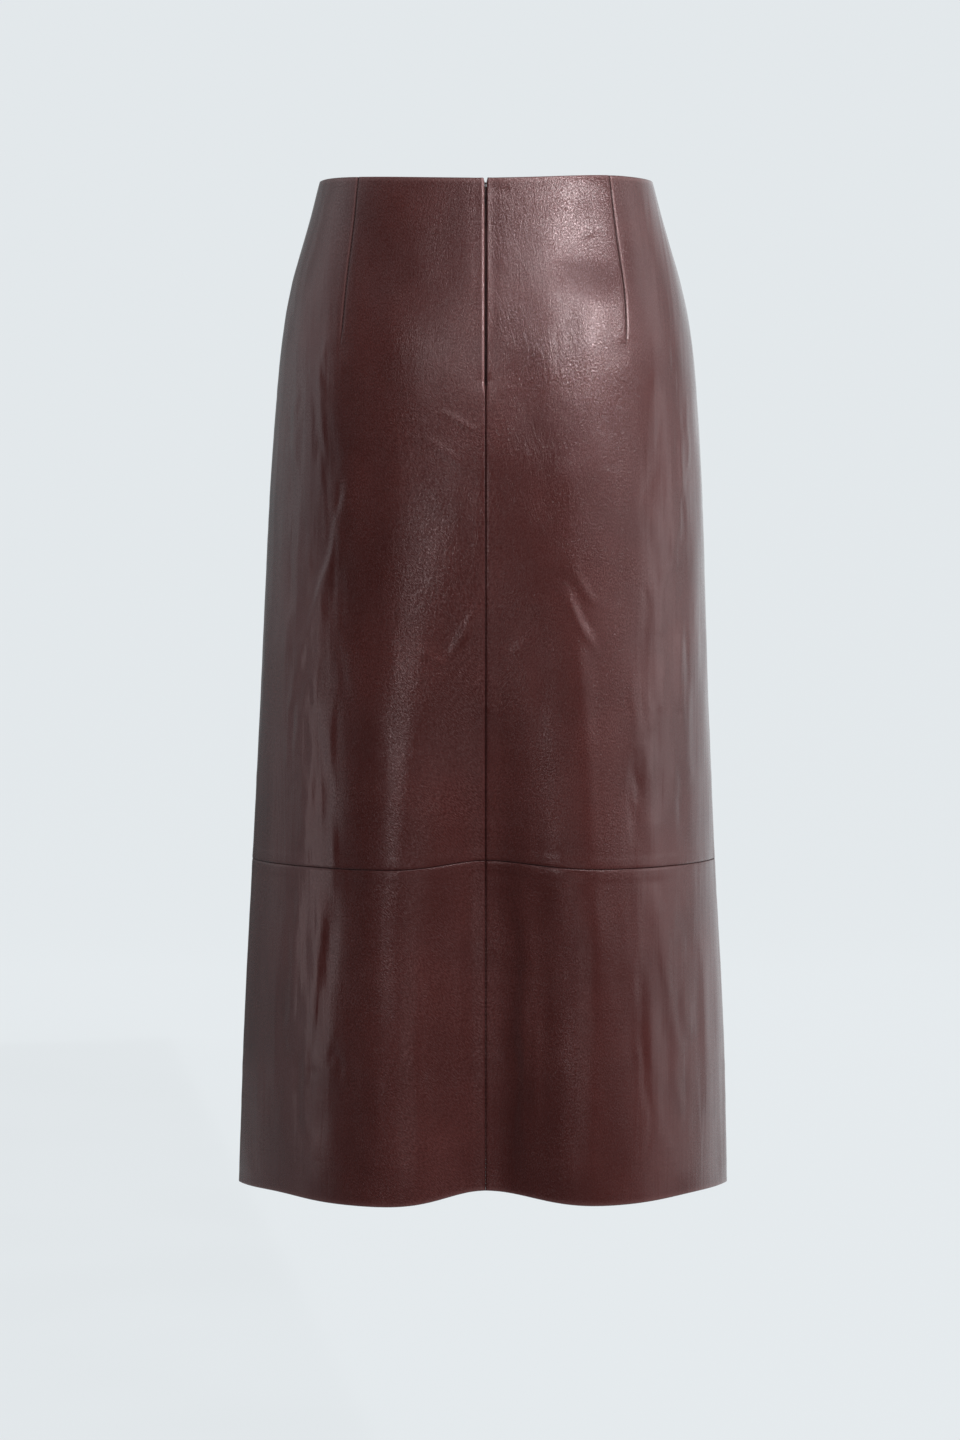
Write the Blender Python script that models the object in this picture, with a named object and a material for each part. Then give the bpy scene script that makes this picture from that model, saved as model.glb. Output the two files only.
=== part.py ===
"""A fitted leather midi skirt, held open in the shape it has when it is worn.

Six leather panels are sewn edge to edge: a front, two backs with a dart each and a centre-back
seam, and below a level seam another front and two backs that reach the hem. A concealed zip with
two tapes, a slider and a pull tab closes the upper part of the centre-back seam.

Metres, +Z up. The origin is the middle of the waist opening, level with the waist edge at the
sides. The back faces -Y and the front faces +Y, so +X is the wearer's right.
"""

import math

import bpy
import bmesh
import numpy as np

# Leather and seams
WALL = 0.0012
TURNED_WALL = 0.0022
WAIST_TURN = 0.030
HEM_TURN = 0.034
TURN_STEP = 0.0015
SEAM_GAP = 0.0003
EDGE_WIDTH = 0.0012
EDGE_ROLL = 0.00045
FOLD_ROLL = 0.0007

# Worn form, one row for each height: the plan outline is a half-oval to the back and one to the
# front. side_edge is its power: 0.5 is an ellipse, and towards 1 the two halves meet at an edge.
# The hollows are the depth of the long trough down the middle of the back and of the front.
SECTION_COLUMNS = (
    "height",
    "half_width",
    "back_depth",
    "front_depth",
    "side_edge",
    "back_hollow",
    "front_hollow",
    "side_lean",
)
SECTIONS = (
    (0.010, 0.1278, 0.0958, 0.0915, 0.50, 0.000, 0.000, 0.0004),
    (0.000, 0.1306, 0.0980, 0.0930, 0.50, 0.000, 0.000, 0.0005),
    (-0.030, 0.1384, 0.1038, 0.0970, 0.50, 0.000, 0.000, 0.0006),
    (-0.077, 0.1519, 0.1132, 0.1025, 0.50, 0.000, 0.000, 0.0008),
    (-0.125, 0.1611, 0.1220, 0.1070, 0.50, 0.000, 0.000, 0.0011),
    (-0.172, 0.1657, 0.1286, 0.1100, 0.50, 0.000, 0.000, 0.0010),
    (-0.235, 0.1699, 0.1332, 0.1120, 0.50, 0.001, 0.000, 0.0006),
    (-0.330, 0.1738, 0.1358, 0.1150, 0.54, 0.007, 0.000, -0.0004),
    (-0.440, 0.1786, 0.1385, 0.1190, 0.62, 0.019, 0.003, -0.0010),
    (-0.540, 0.1835, 0.1405, 0.1230, 0.70, 0.030, 0.007, -0.0014),
    (-0.660, 0.1901, 0.1420, 0.1275, 0.76, 0.034, 0.010, -0.0013),
    (-0.789, 0.1942, 0.1430, 0.1320, 0.80, 0.036, 0.014, -0.0020),
    (-0.800, 0.1945, 0.1431, 0.1324, 0.80, 0.036, 0.014, -0.0021),
)
BACK_HOLLOW_WIDTH = 0.048
FRONT_HOLLOW_WIDTH = 0.060
PLAN_POWER = 2.0
PLAN_POWER_RISE = 1.7

# Waist edge, level seam and hem
BACK_WAIST_DIP = 0.0051
BACK_WAIST_POWER = 3.0
WAIST_CROWN = {-1: 0.0002, 1: 0.0015}
WAIST_CROWN_PLACE = 0.42
WAIST_CROWN_SPREAD = 0.24
FRONT_WAIST_RISE = 0.0040
FRONT_WAIST_POWER = 1.6
SEAM_HEIGHT = -0.5327
HEM_HEIGHT = -0.7903
SEAM_CENTRE_LIFT = 0.0066
HEM_CENTRE_LIFT = 0.0095
CENTRE_LIFT_SPREAD = {-1: 0.040, 1: 0.054}
HEM_FLANK_LIFT = {-1: 0.0030, 1: 0.0016}
HEM_FLANK_PLACE = 0.165
HEM_FLANK_SPREAD = 0.028
SIDE_FADE = 6

# Darts: places across the panel run from 0 at the centre line to 1 at the side seam, and curve
# is the power by which a dart leaves its tip's place on the way up
LEFT_BACK_DART = {"waist_place": 0.543, "tip_place": 0.483, "tip_height": -0.1356, "curve": 2.0}
RIGHT_BACK_DART = {"waist_place": 0.519, "tip_place": 0.460, "tip_height": -0.1349, "curve": 0.9}
FRONT_DART = {"waist_place": 0.500, "tip_place": 0.470, "tip_height": -0.0950, "curve": 1.4}
BACK_DARTS = {-1: LEFT_BACK_DART, 1: RIGHT_BACK_DART}
DART_SINK = 0.0009
DART_HALF_WIDTH = 0.013
DART_FADE = 0.30

# Concealed zip at the centre back
ZIP_END_HEIGHT = -0.1639
ZIP_HALF_GAP = 0.0006
ZIP_END_TAPER = 0.008
NOTCH_HALF_GAP = 0.0015
NOTCH_DEPTH = 0.0055
SLIT_SPREAD = 0.006
TAPE_THICK = 0.0005
TAPE_OUTER_EDGE = 0.0140
TAPE_TOP = 0.0030
TAPE_TAIL = 0.014

SLIDER_TOP = 0.0065
SLIDER_LENGTH = 0.0090
SLIDER_DEPTH = 0.0031
SLIDER_TOP_WIDTH = 0.0066
SLIDER_FOOT_WIDTH = 0.0050
SLIDER_CHAMFER = 0.0012
SLIDER_EDGE = 0.0003
EAR_THICK = 0.0007
EAR_INNER = 0.00065
EAR_RADIUS = 0.0011
PIVOT_DROP = 0.0036
PIVOT_INSIDE = 0.0050
PIN_RADIUS = 0.00045
PULL_BORE_RADIUS = 0.0006
PULL_EYE_RADIUS = 0.00115
PULL_NECK_WIDTH = 0.0008
PULL_NECK_LENGTH = 0.0070
PULL_LENGTH = 0.0185
PULL_WIDTH = 0.0045
PULL_THICK = 0.0009
PULL_SWELL_END = 0.62
PULL_SWELL_POWER = 1.4
PULL_ROUND_START = 0.74
PULL_LAST_STATION = 0.985
PULL_STATIONS = 12
PULL_REST_FROM_WALL = math.radians(28.0)
ROUND_SEGMENTS = 16

# Mesh
NOMINAL_QUARTER = 0.24
BACK_COLUMNS = (6, 7)
FRONT_COLUMNS = (6, 6)
LOWER_COLUMNS = 15
UPPER_ROWS = 15
LOWER_ROWS = 7
NORMAL_STEP = 1e-4
SAME_PLACE = 1e-6

# Finishes: colour, roughness and metallic
LEATHER = ((0.085, 0.027, 0.026), 0.36, 0.0)
TAPE_CLOTH = ((0.030, 0.012, 0.013), 0.85, 0.0)
PAINTED_METAL = ((0.060, 0.018, 0.018), 0.32, 0.35)


def clear_scene():
    for item in list(bpy.data.objects):
        bpy.data.objects.remove(item, do_unlink=True)


def finish_material(name, finish):
    colour, roughness, metallic = finish
    material = bpy.data.materials.new(name)
    material.use_nodes = True
    shader = material.node_tree.nodes["Principled BSDF"]
    shader.inputs["Base Color"].default_value = (*colour, 1.0)
    shader.inputs["Roughness"].default_value = roughness
    shader.inputs["Metallic"].default_value = metallic
    return material


def section(column, height):
    """The named size at each height: a smooth curve through the rows of SECTIONS."""
    rows = np.array(SECTIONS)[::-1]
    knots = rows[:, 0]
    values = rows[:, SECTION_COLUMNS.index(column)]
    slopes = np.gradient(values, knots)
    at = np.clip(height, knots[0], knots[-1])
    low = np.clip(np.searchsorted(knots, at) - 1, 0, len(knots) - 2)
    span = knots[low + 1] - knots[low]
    t = (at - knots[low]) / span
    return (
        (2 * t**3 - 3 * t**2 + 1) * values[low]
        + (t**3 - 2 * t**2 + t) * span * slopes[low]
        + (3 * t**2 - 2 * t**3) * values[low + 1]
        + (t**3 - t**2) * span * slopes[low + 1]
    )


def bump(distance, spread):
    return np.exp(-((distance / spread) ** 2))


def slit_half_gap(height):
    """Half the width between the two back edges: wide at the notch, then the zip, then a seam."""
    below_waist = -BACK_WAIST_DIP - height
    notch = (NOTCH_HALF_GAP - ZIP_HALF_GAP) * np.clip(1 - below_waist / NOTCH_DEPTH, 0, 1)
    open_share = np.clip((height - ZIP_END_HEIGHT) / ZIP_END_TAPER + 1, 0, 1)
    return SEAM_GAP / 2 + (ZIP_HALF_GAP - SEAM_GAP / 2) * open_share + notch


def share_across(across, height):
    """Turn a place across a quarter, 0 to 1 along its arc, into the share of the half width."""
    edge = section("side_edge", height)
    angle = (1 - (1 - np.abs(across)) ** (1 / (2 * edge))) * math.pi / 2
    return np.sin(angle)


def surface_at_share(share, side, height, back):
    """A point of the outer surface, from the share of the half width, 0 at the centre line."""
    half_width = section("half_width", height)
    edge = section("side_edge", height)
    power = PLAN_POWER + PLAN_POWER_RISE * (edge - 0.5)
    oval = np.clip(1 - share**power, 0, 1) ** edge
    lean = section("side_lean", height) * share**2
    if back:
        hollow = section("back_hollow", height) * bump(half_width * share, BACK_HOLLOW_WIDTH)
        depth = -(section("back_depth", height) * oval - hollow)
    else:
        hollow = section("front_hollow", height) * bump(half_width * share, FRONT_HOLLOW_WIDTH)
        depth = section("front_depth", height) * oval - hollow
    return np.stack([side * half_width * share + lean, depth, height + 0 * depth], axis=-1)


def outer_surface(across, height, back, side):
    """A point of the outer surface at a place across, -1 to 1 from side to side."""
    share = share_across(across, height)
    if back:
        half_width = section("half_width", height)
        opened = slit_half_gap(height) * np.exp(-half_width * share / SLIT_SPREAD)
        share = np.minimum(share + opened / half_width * (1 - share), 1)
    return surface_at_share(share, side, height, back)


def outward(across, height, back, side):
    """The outer surface's unit normal, by differences that stay on one side of the centre."""
    place = np.abs(across)
    near = np.clip(place - NORMAL_STEP, 0, 1)
    far = np.clip(place + NORMAL_STEP, 0, 1)
    along = outer_surface(far, height, back, side) - outer_surface(near, height, back, side)
    rise = outer_surface(place, height + NORMAL_STEP, back, side)
    rise = rise - outer_surface(place, height - NORMAL_STEP, back, side)
    normal = np.cross(along, rise) * (side if back else -side)[..., None]
    return normal / np.linalg.norm(normal, axis=-1, keepdims=True)


def by_side(table, across):
    return np.where(across < 0, table[-1], table[1])


def waist_edge(across, back):
    """The height of the waist edge: it dips to the centre back and rises to the centre front."""
    facing = np.cos(np.abs(across) * math.pi / 2)
    if not back:
        return FRONT_WAIST_RISE * facing**FRONT_WAIST_POWER
    crown = by_side(WAIST_CROWN, across) * bump(np.abs(across) - WAIST_CROWN_PLACE, WAIST_CROWN_SPREAD)
    return crown - BACK_WAIST_DIP * facing**BACK_WAIST_POWER


def centre_lift(lift, across, level):
    """How far the taut centre-back seam lifts an edge, fading out to each side."""
    x = section("half_width", level) * share_across(across, level)
    return lift * bump(x, by_side(CENTRE_LIFT_SPREAD, across))


def seam_line(across, back):
    """The height of the seam between the upper and the lower panels."""
    level = np.full_like(across, SEAM_HEIGHT)
    return level + centre_lift(SEAM_CENTRE_LIFT, across, level) if back else level


def above_seam(across, back):
    return seam_line(across, back) + SEAM_GAP / 2


def below_seam(across, back):
    return seam_line(across, back) - SEAM_GAP / 2


def hem_line(across, back):
    """The height of the hem, lifted at the centre-back seam and on the flanks."""
    level = np.full_like(across, HEM_HEIGHT)
    if not back:
        return level
    x = section("half_width", level) * share_across(across, level)
    flank = by_side(HEM_FLANK_LIFT, across) * bump(x - HEM_FLANK_PLACE, HEM_FLANK_SPREAD)
    flank = flank * (1 - np.abs(across) ** SIDE_FADE)
    return level + centre_lift(HEM_CENTRE_LIFT, across, level) + flank


def with_dart(across, height, side, dart):
    """Bend one side's columns so that one follows the dart; return them and the dart's sink."""
    tip = dart["tip_place"]
    place = np.abs(across)
    here = np.sign(across) == side
    above_tip = np.clip(1 - height / dart["tip_height"], 0, 1)
    on_dart = here & (np.abs(place - tip) < SAME_PLACE)
    sink = np.where(on_dart, DART_SINK * np.clip(above_tip / DART_FADE, 0, 1), 0)
    stretch = np.where(place < tip, place / tip, (1 - place) / (1 - tip))
    shift = side * (dart["waist_place"] - tip) * above_tip ** dart["curve"] * stretch
    return across + np.where(here, shift, 0), sink


def wall_grid(columns, rows, top, bottom, back, darts, turned_top, turned_foot):
    """A panel's outer and inner points, by rows and columns, with its normals and plain surface."""
    across, share = np.meshgrid(columns, rows)
    height = top(across, back) * (1 - share) + bottom(across, back) * share
    side = np.where(across + np.sum(columns) * NORMAL_STEP < 0, -1.0, 1.0)
    sink = np.zeros_like(across)
    for dart_side, dart in darts.items():
        across, dart_sink = with_dart(across, height, dart_side, dart)
        sink = sink + dart_sink
    outer = outer_surface(across, height, back, side)
    normal = outward(across, height, back, side)
    thick = np.full_like(height, WALL)
    length = top(across, back) - bottom(across, back)
    if turned_top:
        thick = np.where(share * length < WAIST_TURN + TURN_STEP / 2, TURNED_WALL, thick)
    if turned_foot:
        thick = np.where((1 - share) * length < HEM_TURN + TURN_STEP / 2, TURNED_WALL, thick)
    plain = outer
    inner = outer - normal * thick[..., None]

    roll = np.zeros_like(height)
    roll[:, [0, -1]] = EDGE_ROLL
    roll[[0, -1], :] = EDGE_ROLL
    outer = outer - normal * np.maximum(roll, sink)[..., None]
    if turned_top:
        inner[0] = inner[0] + normal[0] * FOLD_ROLL
    if turned_foot:
        inner[-1] = inner[-1] + normal[-1] * FOLD_ROLL

    half_gap = SEAM_GAP / 2 * (-1 if back else 1)
    for edge in (0, -1):
        place = abs(columns[edge])
        if place == 1:
            outer[:, edge, 1] = half_gap
            inner[:, edge, 1] = half_gap
        elif place == 0:
            inner[:, edge, 0] = outer[:, edge, 0]
    return {"outer": outer, "inner": inner, "plain": plain, "normal": normal, "height": height}


def wall_object(name, outer, inner, material):
    """A closed wall: the outer grid, the inner grid and a rim that joins their borders."""
    rows, columns = outer.shape[:2]
    index = np.arange(rows * columns).reshape(rows, columns)
    quads = np.stack([index[:-1, :-1], index[:-1, 1:], index[1:, 1:], index[1:, :-1]], axis=-1)
    quads = quads.reshape(-1, 4)
    border = np.concatenate([index[0, :-1], index[:-1, -1], index[-1, :0:-1], index[:0:-1, 0]])
    after = np.roll(border, -1)
    offset = rows * columns
    rim = np.stack([after, border, border + offset, after + offset], axis=-1)
    faces = np.concatenate([quads, quads[:, ::-1] + offset, rim])
    points = np.concatenate([outer.reshape(-1, 3), inner.reshape(-1, 3)])
    return mesh_object(name, points.tolist(), faces.tolist(), material)


def mesh_object(name, points, faces, material):
    mesh = bpy.data.meshes.new(name)
    mesh.from_pydata(points, [], faces)
    shape = bmesh.new()
    shape.from_mesh(mesh)
    bmesh.ops.recalc_face_normals(shape, faces=shape.faces)
    shape.to_mesh(mesh)
    shape.free()
    mesh.materials.append(material)
    item = bpy.data.objects.new(name, mesh)
    bpy.context.collection.objects.link(item)
    return item


def edged(start, stop, count, start_edge=True, stop_edge=True, length=NOMINAL_QUARTER):
    """Even places from start to stop, with one more place an edge width inside each end."""
    edge = EDGE_WIDTH / length
    first = [start, start + edge] if start_edge else [start]
    last = [stop - edge, stop] if stop_edge else [stop]
    middle = np.linspace(first[-1], last[0], count + 1)[1:-1]
    return first + list(middle) + last


def upper_columns(side, dart_place, counts):
    """Places across an upper quarter: the seam's edge, the tape's edge, the dart and the side."""
    half = DART_HALF_WIDTH
    seam = [0.0, EDGE_WIDTH / NOMINAL_QUARTER]
    tape = TAPE_OUTER_EDGE / NOMINAL_QUARTER
    towards_centre = list(np.linspace(tape, dart_place - half, counts[0] + 1))
    towards_side = edged(dart_place + half, 1.0, counts[1], start_edge=False)
    places = np.array(seam + towards_centre + [dart_place] + towards_side)
    return places if side > 0 else -places[::-1]


def build_upper_panels(leather):
    """Make the three upper panels, and return the grids of the two backs for the zip to lie on."""
    length = -SEAM_HEIGHT
    turn = [0.0, EDGE_WIDTH / length, WAIST_TURN / length, (WAIST_TURN + TURN_STEP) / length]
    body = edged(turn[-1], 1.0, UPPER_ROWS, start_edge=False, length=length)
    rows = np.array(turn[:-1] + body)
    backs = {}
    for side, name in ((-1, "back_upper_left"), (1, "back_upper_right")):
        columns = upper_columns(side, BACK_DARTS[side]["tip_place"], BACK_COLUMNS)
        darts = {side: BACK_DARTS[side]}
        grid = wall_grid(columns, rows, waist_edge, above_seam, True, darts, True, False)
        wall_object(name, grid["outer"], grid["inner"], leather)
        backs[side] = grid
    half = upper_columns(1, FRONT_DART["tip_place"], FRONT_COLUMNS)
    half = np.delete(half, [1, 2])
    columns = np.concatenate([-half[:0:-1], half])
    darts = {-1: FRONT_DART, 1: FRONT_DART}
    grid = wall_grid(columns, rows, waist_edge, above_seam, False, darts, True, False)
    wall_object("front_upper", grid["outer"], grid["inner"], leather)
    return backs


def build_lower_panels(leather):
    length = SEAM_HEIGHT - HEM_HEIGHT
    turn = [1 - size / length for size in (HEM_TURN + TURN_STEP, HEM_TURN, EDGE_WIDTH, 0)]
    body = edged(0.0, turn[0], LOWER_ROWS, stop_edge=False, length=length)
    rows = np.array(body + turn[1:])
    quarter = np.array(edged(0.0, 1.0, LOWER_COLUMNS))
    for side, name in ((-1, "back_lower_left"), (1, "back_lower_right")):
        columns = quarter if side > 0 else -quarter[::-1]
        grid = wall_grid(columns, rows, below_seam, hem_line, True, {}, False, True)
        wall_object(name, grid["outer"], grid["inner"], leather)
    half = np.delete(quarter, 1)
    columns = np.concatenate([-half[:0:-1], half])
    grid = wall_grid(columns, rows, below_seam, hem_line, False, {}, False, True)
    wall_object("front_lower", grid["outer"], grid["inner"], leather)


def build_zip_tapes(backs, cloth):
    """Two tapes on the backs' inner faces, made from the panels' own points, moved inwards."""
    top = -BACK_WAIST_DIP - TAPE_TOP
    foot = ZIP_END_HEIGHT - TAPE_TAIL
    for side, name in ((-1, "zip_tape_left"), (1, "zip_tape_right")):
        grid = backs[side]
        pair = slice(1, 3) if side > 0 else slice(-3, -1)
        heights = grid["height"][:, pair].mean(axis=1)
        between = [h for h in heights if foot < h < top]
        wanted = np.array([top] + between + [foot])
        face = grid["inner"][:, pair]
        normal = grid["normal"][:, pair]
        near = at_heights(face - normal * SEAM_GAP, heights, wanted)
        far = at_heights(face - normal * (SEAM_GAP + TAPE_THICK), heights, wanted)
        wall_object(name, near, far, cloth)


def at_heights(points, heights, wanted):
    """The rows of a grid of points at the wanted heights, on straight lines between its rows."""
    flat = points.reshape(len(heights), -1)
    order = np.argsort(heights)
    columns = [np.interp(wanted, heights[order], flat[order, i]) for i in range(flat.shape[1])]
    return np.stack(columns, axis=-1).reshape(len(wanted), *points.shape[1:])


def slider_frame(backs):
    """The centre-back point at the waist edge, and the wall's lean from the vertical there."""
    edge = backs[1]["plain"][:, 0]
    upper, lower = edge[1], edge[2]
    lean = math.atan2(upper[1] - lower[1], upper[2] - lower[2])
    return edge[0], lean


def at_zip(frame, inward, drop):
    """World place of a point inside the wall by inward and down the wall from its top by drop."""
    start, lean = frame
    y = start[1] + inward * math.cos(lean) - drop * math.sin(lean)
    z = start[2] - inward * math.sin(lean) - drop * math.cos(lean)
    return (0.0, y, z)


def between_copies(name, points, material):
    """A solid between two copies of one outline, given one after the other in the list."""
    count = len(points) // 2
    faces = [list(range(count)), list(range(count, 2 * count))]
    for i in range(count):
        j = (i + 1) % count
        faces.append([i, j, j + count, i + count])
    return mesh_object(name, points, faces, material)


def prism(name, outline, width, material):
    """An outline of (y, z) points, carried along X to the given width."""
    points = [(x, y, z) for x in (-width / 2, width / 2) for y, z in outline]
    return between_copies(name, points, material)


def circle(radius, stop=2 * math.pi, closed=True):
    steps = ROUND_SEGMENTS if closed else ROUND_SEGMENTS // 2 + 1
    angles = np.linspace(0.0, stop, steps, endpoint=not closed)
    return [(radius * math.cos(angle), radius * math.sin(angle)) for angle in angles]


def join(target, tool, operation):
    """Unite or cut the target with a guide piece, which stays in the file as a wire guide."""
    step = target.modifiers.new(operation.title(), "BOOLEAN")
    step.operation = operation
    step.object = tool
    tool.hide_render = True
    tool.display_type = "WIRE"


def place(items, location, turn):
    for item in items:
        item.location = location
        item.rotation_euler = (turn, 0.0, 0.0)


def build_slider(frame, metal):
    """Slider body below the pivot, two ears and the pin between them; local Y points inward."""
    tape_face = TURNED_WALL + SEAM_GAP + TAPE_THICK + SEAM_GAP - PIVOT_INSIDE
    back_face = tape_face + SLIDER_DEPTH
    top = PIVOT_DROP - SLIDER_TOP
    foot = top - SLIDER_LENGTH
    outline = [
        (tape_face, top),
        (tape_face, foot),
        (back_face - SLIDER_EDGE, foot),
        (back_face, foot + SLIDER_EDGE),
        (back_face, top - SLIDER_CHAMFER),
        (back_face - SLIDER_CHAMFER, top),
    ]
    body = prism("zip_slider", outline, SLIDER_TOP_WIDTH, metal)
    for vertex in body.data.vertices:
        if vertex.co.z < foot + 2 * SLIDER_EDGE:
            vertex.co.x *= SLIDER_FOOT_WIDTH / SLIDER_TOP_WIDTH
    pieces = [body]
    arch = circle(EAR_RADIUS, stop=math.pi, closed=False)
    ear_outline = arch + [(-EAR_RADIUS, top - SLIDER_EDGE), (EAR_RADIUS, top - SLIDER_EDGE)]
    for side in (-1, 1):
        ear = prism(f"ear_guide_{len(pieces)}", ear_outline, EAR_THICK, metal)
        for vertex in ear.data.vertices:
            vertex.co.x += side * (EAR_INNER + EAR_THICK / 2)
        join(body, ear, "UNION")
        pieces.append(ear)
    pin = prism("pin_guide", circle(PIN_RADIUS), 2 * EAR_INNER + EAR_THICK, metal)
    join(body, pin, "UNION")
    pieces.append(pin)
    place(pieces, at_zip(frame, PIVOT_INSIDE, PIVOT_DROP), -frame[1])


def pull_half_width(along):
    """Half the tab's width at a share of the blade's length: it swells, then rounds off."""
    swell = np.sin(np.clip(along / PULL_SWELL_END, 0, 1) * math.pi / 2) ** PULL_SWELL_POWER
    into_round = np.clip((along - PULL_ROUND_START) / (1 - PULL_ROUND_START), 0, 1)
    end = np.sqrt(1 - into_round**2)
    narrow = PULL_NECK_WIDTH / 2
    return (narrow + (PULL_WIDTH / 2 - narrow) * swell) * end


def build_pull(frame, metal):
    """The pull tab hangs down local Z from its eye; local X is the joint's axis."""
    shares = np.linspace(0, PULL_LAST_STATION, PULL_STATIONS)
    drops = -(PULL_NECK_LENGTH + (PULL_LENGTH - PULL_NECK_LENGTH) * shares)
    widths = pull_half_width(shares)
    right = [(PULL_NECK_WIDTH / 2, 0.0)] + list(zip(widths, drops))
    outline = right + [(-x, z) for x, z in reversed(right)]
    points = [(x, y, z) for y in (-PULL_THICK / 2, PULL_THICK / 2) for x, z in outline]
    tab = between_copies("zip_pull", points, metal)
    eye = prism("eye_guide", circle(PULL_EYE_RADIUS), PULL_NECK_WIDTH, metal)
    bore = prism("bore_guide", circle(PULL_BORE_RADIUS), 4 * PULL_NECK_WIDTH, metal)
    join(tab, eye, "UNION")
    join(tab, bore, "DIFFERENCE")
    pivot = at_zip(frame, PIVOT_INSIDE, PIVOT_DROP)
    place([tab, eye, bore], pivot, PULL_REST_FROM_WALL - frame[1])


def main():
    clear_scene()
    leather = finish_material("leather", LEATHER)
    cloth = finish_material("zip_tape", TAPE_CLOTH)
    metal = finish_material("zip_metal", PAINTED_METAL)
    backs = build_upper_panels(leather)
    build_lower_panels(leather)
    build_zip_tapes(backs, cloth)
    frame = slider_frame(backs)
    build_slider(frame, metal)
    build_pull(frame, metal)


main()
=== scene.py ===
"""Leather midi skirt: its panels, seams, darts and concealed zip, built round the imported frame.

The skirt hangs in the frame's axes: +Z is up, the back and its zip face -Y, and the waist edge is
near Z = 0. A place on a panel is given by across, -1 to 1 from side seam to side seam along the
arc, and by height. All lengths are in metres.
"""

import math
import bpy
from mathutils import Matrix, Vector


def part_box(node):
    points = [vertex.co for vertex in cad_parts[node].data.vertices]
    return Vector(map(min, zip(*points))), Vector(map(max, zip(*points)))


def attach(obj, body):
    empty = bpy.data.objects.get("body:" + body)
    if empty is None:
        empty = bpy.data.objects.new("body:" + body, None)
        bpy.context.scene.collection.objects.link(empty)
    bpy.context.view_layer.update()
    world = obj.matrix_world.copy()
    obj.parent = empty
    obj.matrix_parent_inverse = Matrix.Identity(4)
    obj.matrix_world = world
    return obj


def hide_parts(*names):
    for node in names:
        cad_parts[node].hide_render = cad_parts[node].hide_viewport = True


bl_info = {
    "name": "Leather Skirt",
    "version": (1, 0, 0),
    "blender": (4, 5, 0),
    "location": "3D View > Sidebar > Skirt",
    "description": "Builds a fitted leather midi skirt with its seams, darts and concealed zip",
    "category": "Add Mesh",
}

import bpy
import numpy as np
from mathutils import Vector

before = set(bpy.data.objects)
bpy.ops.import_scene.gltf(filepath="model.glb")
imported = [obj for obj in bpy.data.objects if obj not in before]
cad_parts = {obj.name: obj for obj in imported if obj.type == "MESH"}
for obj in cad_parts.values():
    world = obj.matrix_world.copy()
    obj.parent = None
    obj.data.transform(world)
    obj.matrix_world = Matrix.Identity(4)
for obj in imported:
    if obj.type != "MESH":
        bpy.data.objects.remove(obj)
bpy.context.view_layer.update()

# Worn form, one row for each height: half-ovals to the back and to the front, whose power is
# side_edge, and a long hollow down the middle of the back and of the front.
FORM_COLUMNS = (
    "height", "half_width", "back_depth", "front_depth",
    "side_edge", "back_hollow", "front_hollow", "side_lean",
)
FORM = (
    (0.010, 0.1278, 0.0958, 0.0915, 0.50, 0.000, 0.000, 0.0004),
    (0.000, 0.1306, 0.0980, 0.0930, 0.50, 0.000, 0.000, 0.0005),
    (-0.030, 0.1384, 0.1038, 0.0970, 0.50, 0.000, 0.000, 0.0006),
    (-0.077, 0.1519, 0.1132, 0.1025, 0.50, 0.000, 0.000, 0.0008),
    (-0.125, 0.1611, 0.1220, 0.1070, 0.50, 0.000, 0.000, 0.0011),
    (-0.172, 0.1657, 0.1286, 0.1100, 0.50, 0.000, 0.000, 0.0010),
    (-0.235, 0.1699, 0.1332, 0.1120, 0.50, 0.001, 0.000, 0.0006),
    (-0.330, 0.1738, 0.1358, 0.1150, 0.54, 0.007, 0.000, -0.0004),
    (-0.440, 0.1786, 0.1385, 0.1190, 0.62, 0.019, 0.003, -0.0010),
    (-0.540, 0.1835, 0.1405, 0.1230, 0.70, 0.030, 0.007, -0.0014),
    (-0.660, 0.1901, 0.1420, 0.1275, 0.76, 0.034, 0.010, -0.0013),
    (-0.789, 0.1942, 0.1430, 0.1320, 0.80, 0.036, 0.014, -0.0020),
    (-0.800, 0.1945, 0.1431, 0.1324, 0.80, 0.036, 0.014, -0.0021),
)
BACK_HOLLOW_WIDTH = 0.048
FRONT_HOLLOW_WIDTH = 0.060
PLAN_POWER = 2.0
PLAN_POWER_RISE = 1.7
QUARTER = 0.24
NORMAL_STEP = 1e-4
NEAR_CENTRE = 1e-7

# Waist edge, level seam and hem
BACK_WAIST_DIP = 0.0051
BACK_WAIST_POWER = 3.0
WAIST_CROWN = {-1: 0.0002, 1: 0.0015}
WAIST_CROWN_PLACE = 0.42
WAIST_CROWN_SPREAD = 0.24
FRONT_WAIST_RISE = 0.0040
FRONT_WAIST_POWER = 1.6
LEVEL_SEAM = -0.5327
HEM = -0.7903
SEAM_CENTRE_LIFT = 0.0066
HEM_CENTRE_LIFT = 0.0095
CENTRE_LIFT_SPREAD = {-1: 0.040, 1: 0.054}
HEM_FLANK_LIFT = {-1: 0.0030, 1: 0.0016}
HEM_FLANK_PLACE = 0.165
HEM_FLANK_SPREAD = 0.028
SIDE_FADE = 6
FIT_TOLERANCE = 0.0025

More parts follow.
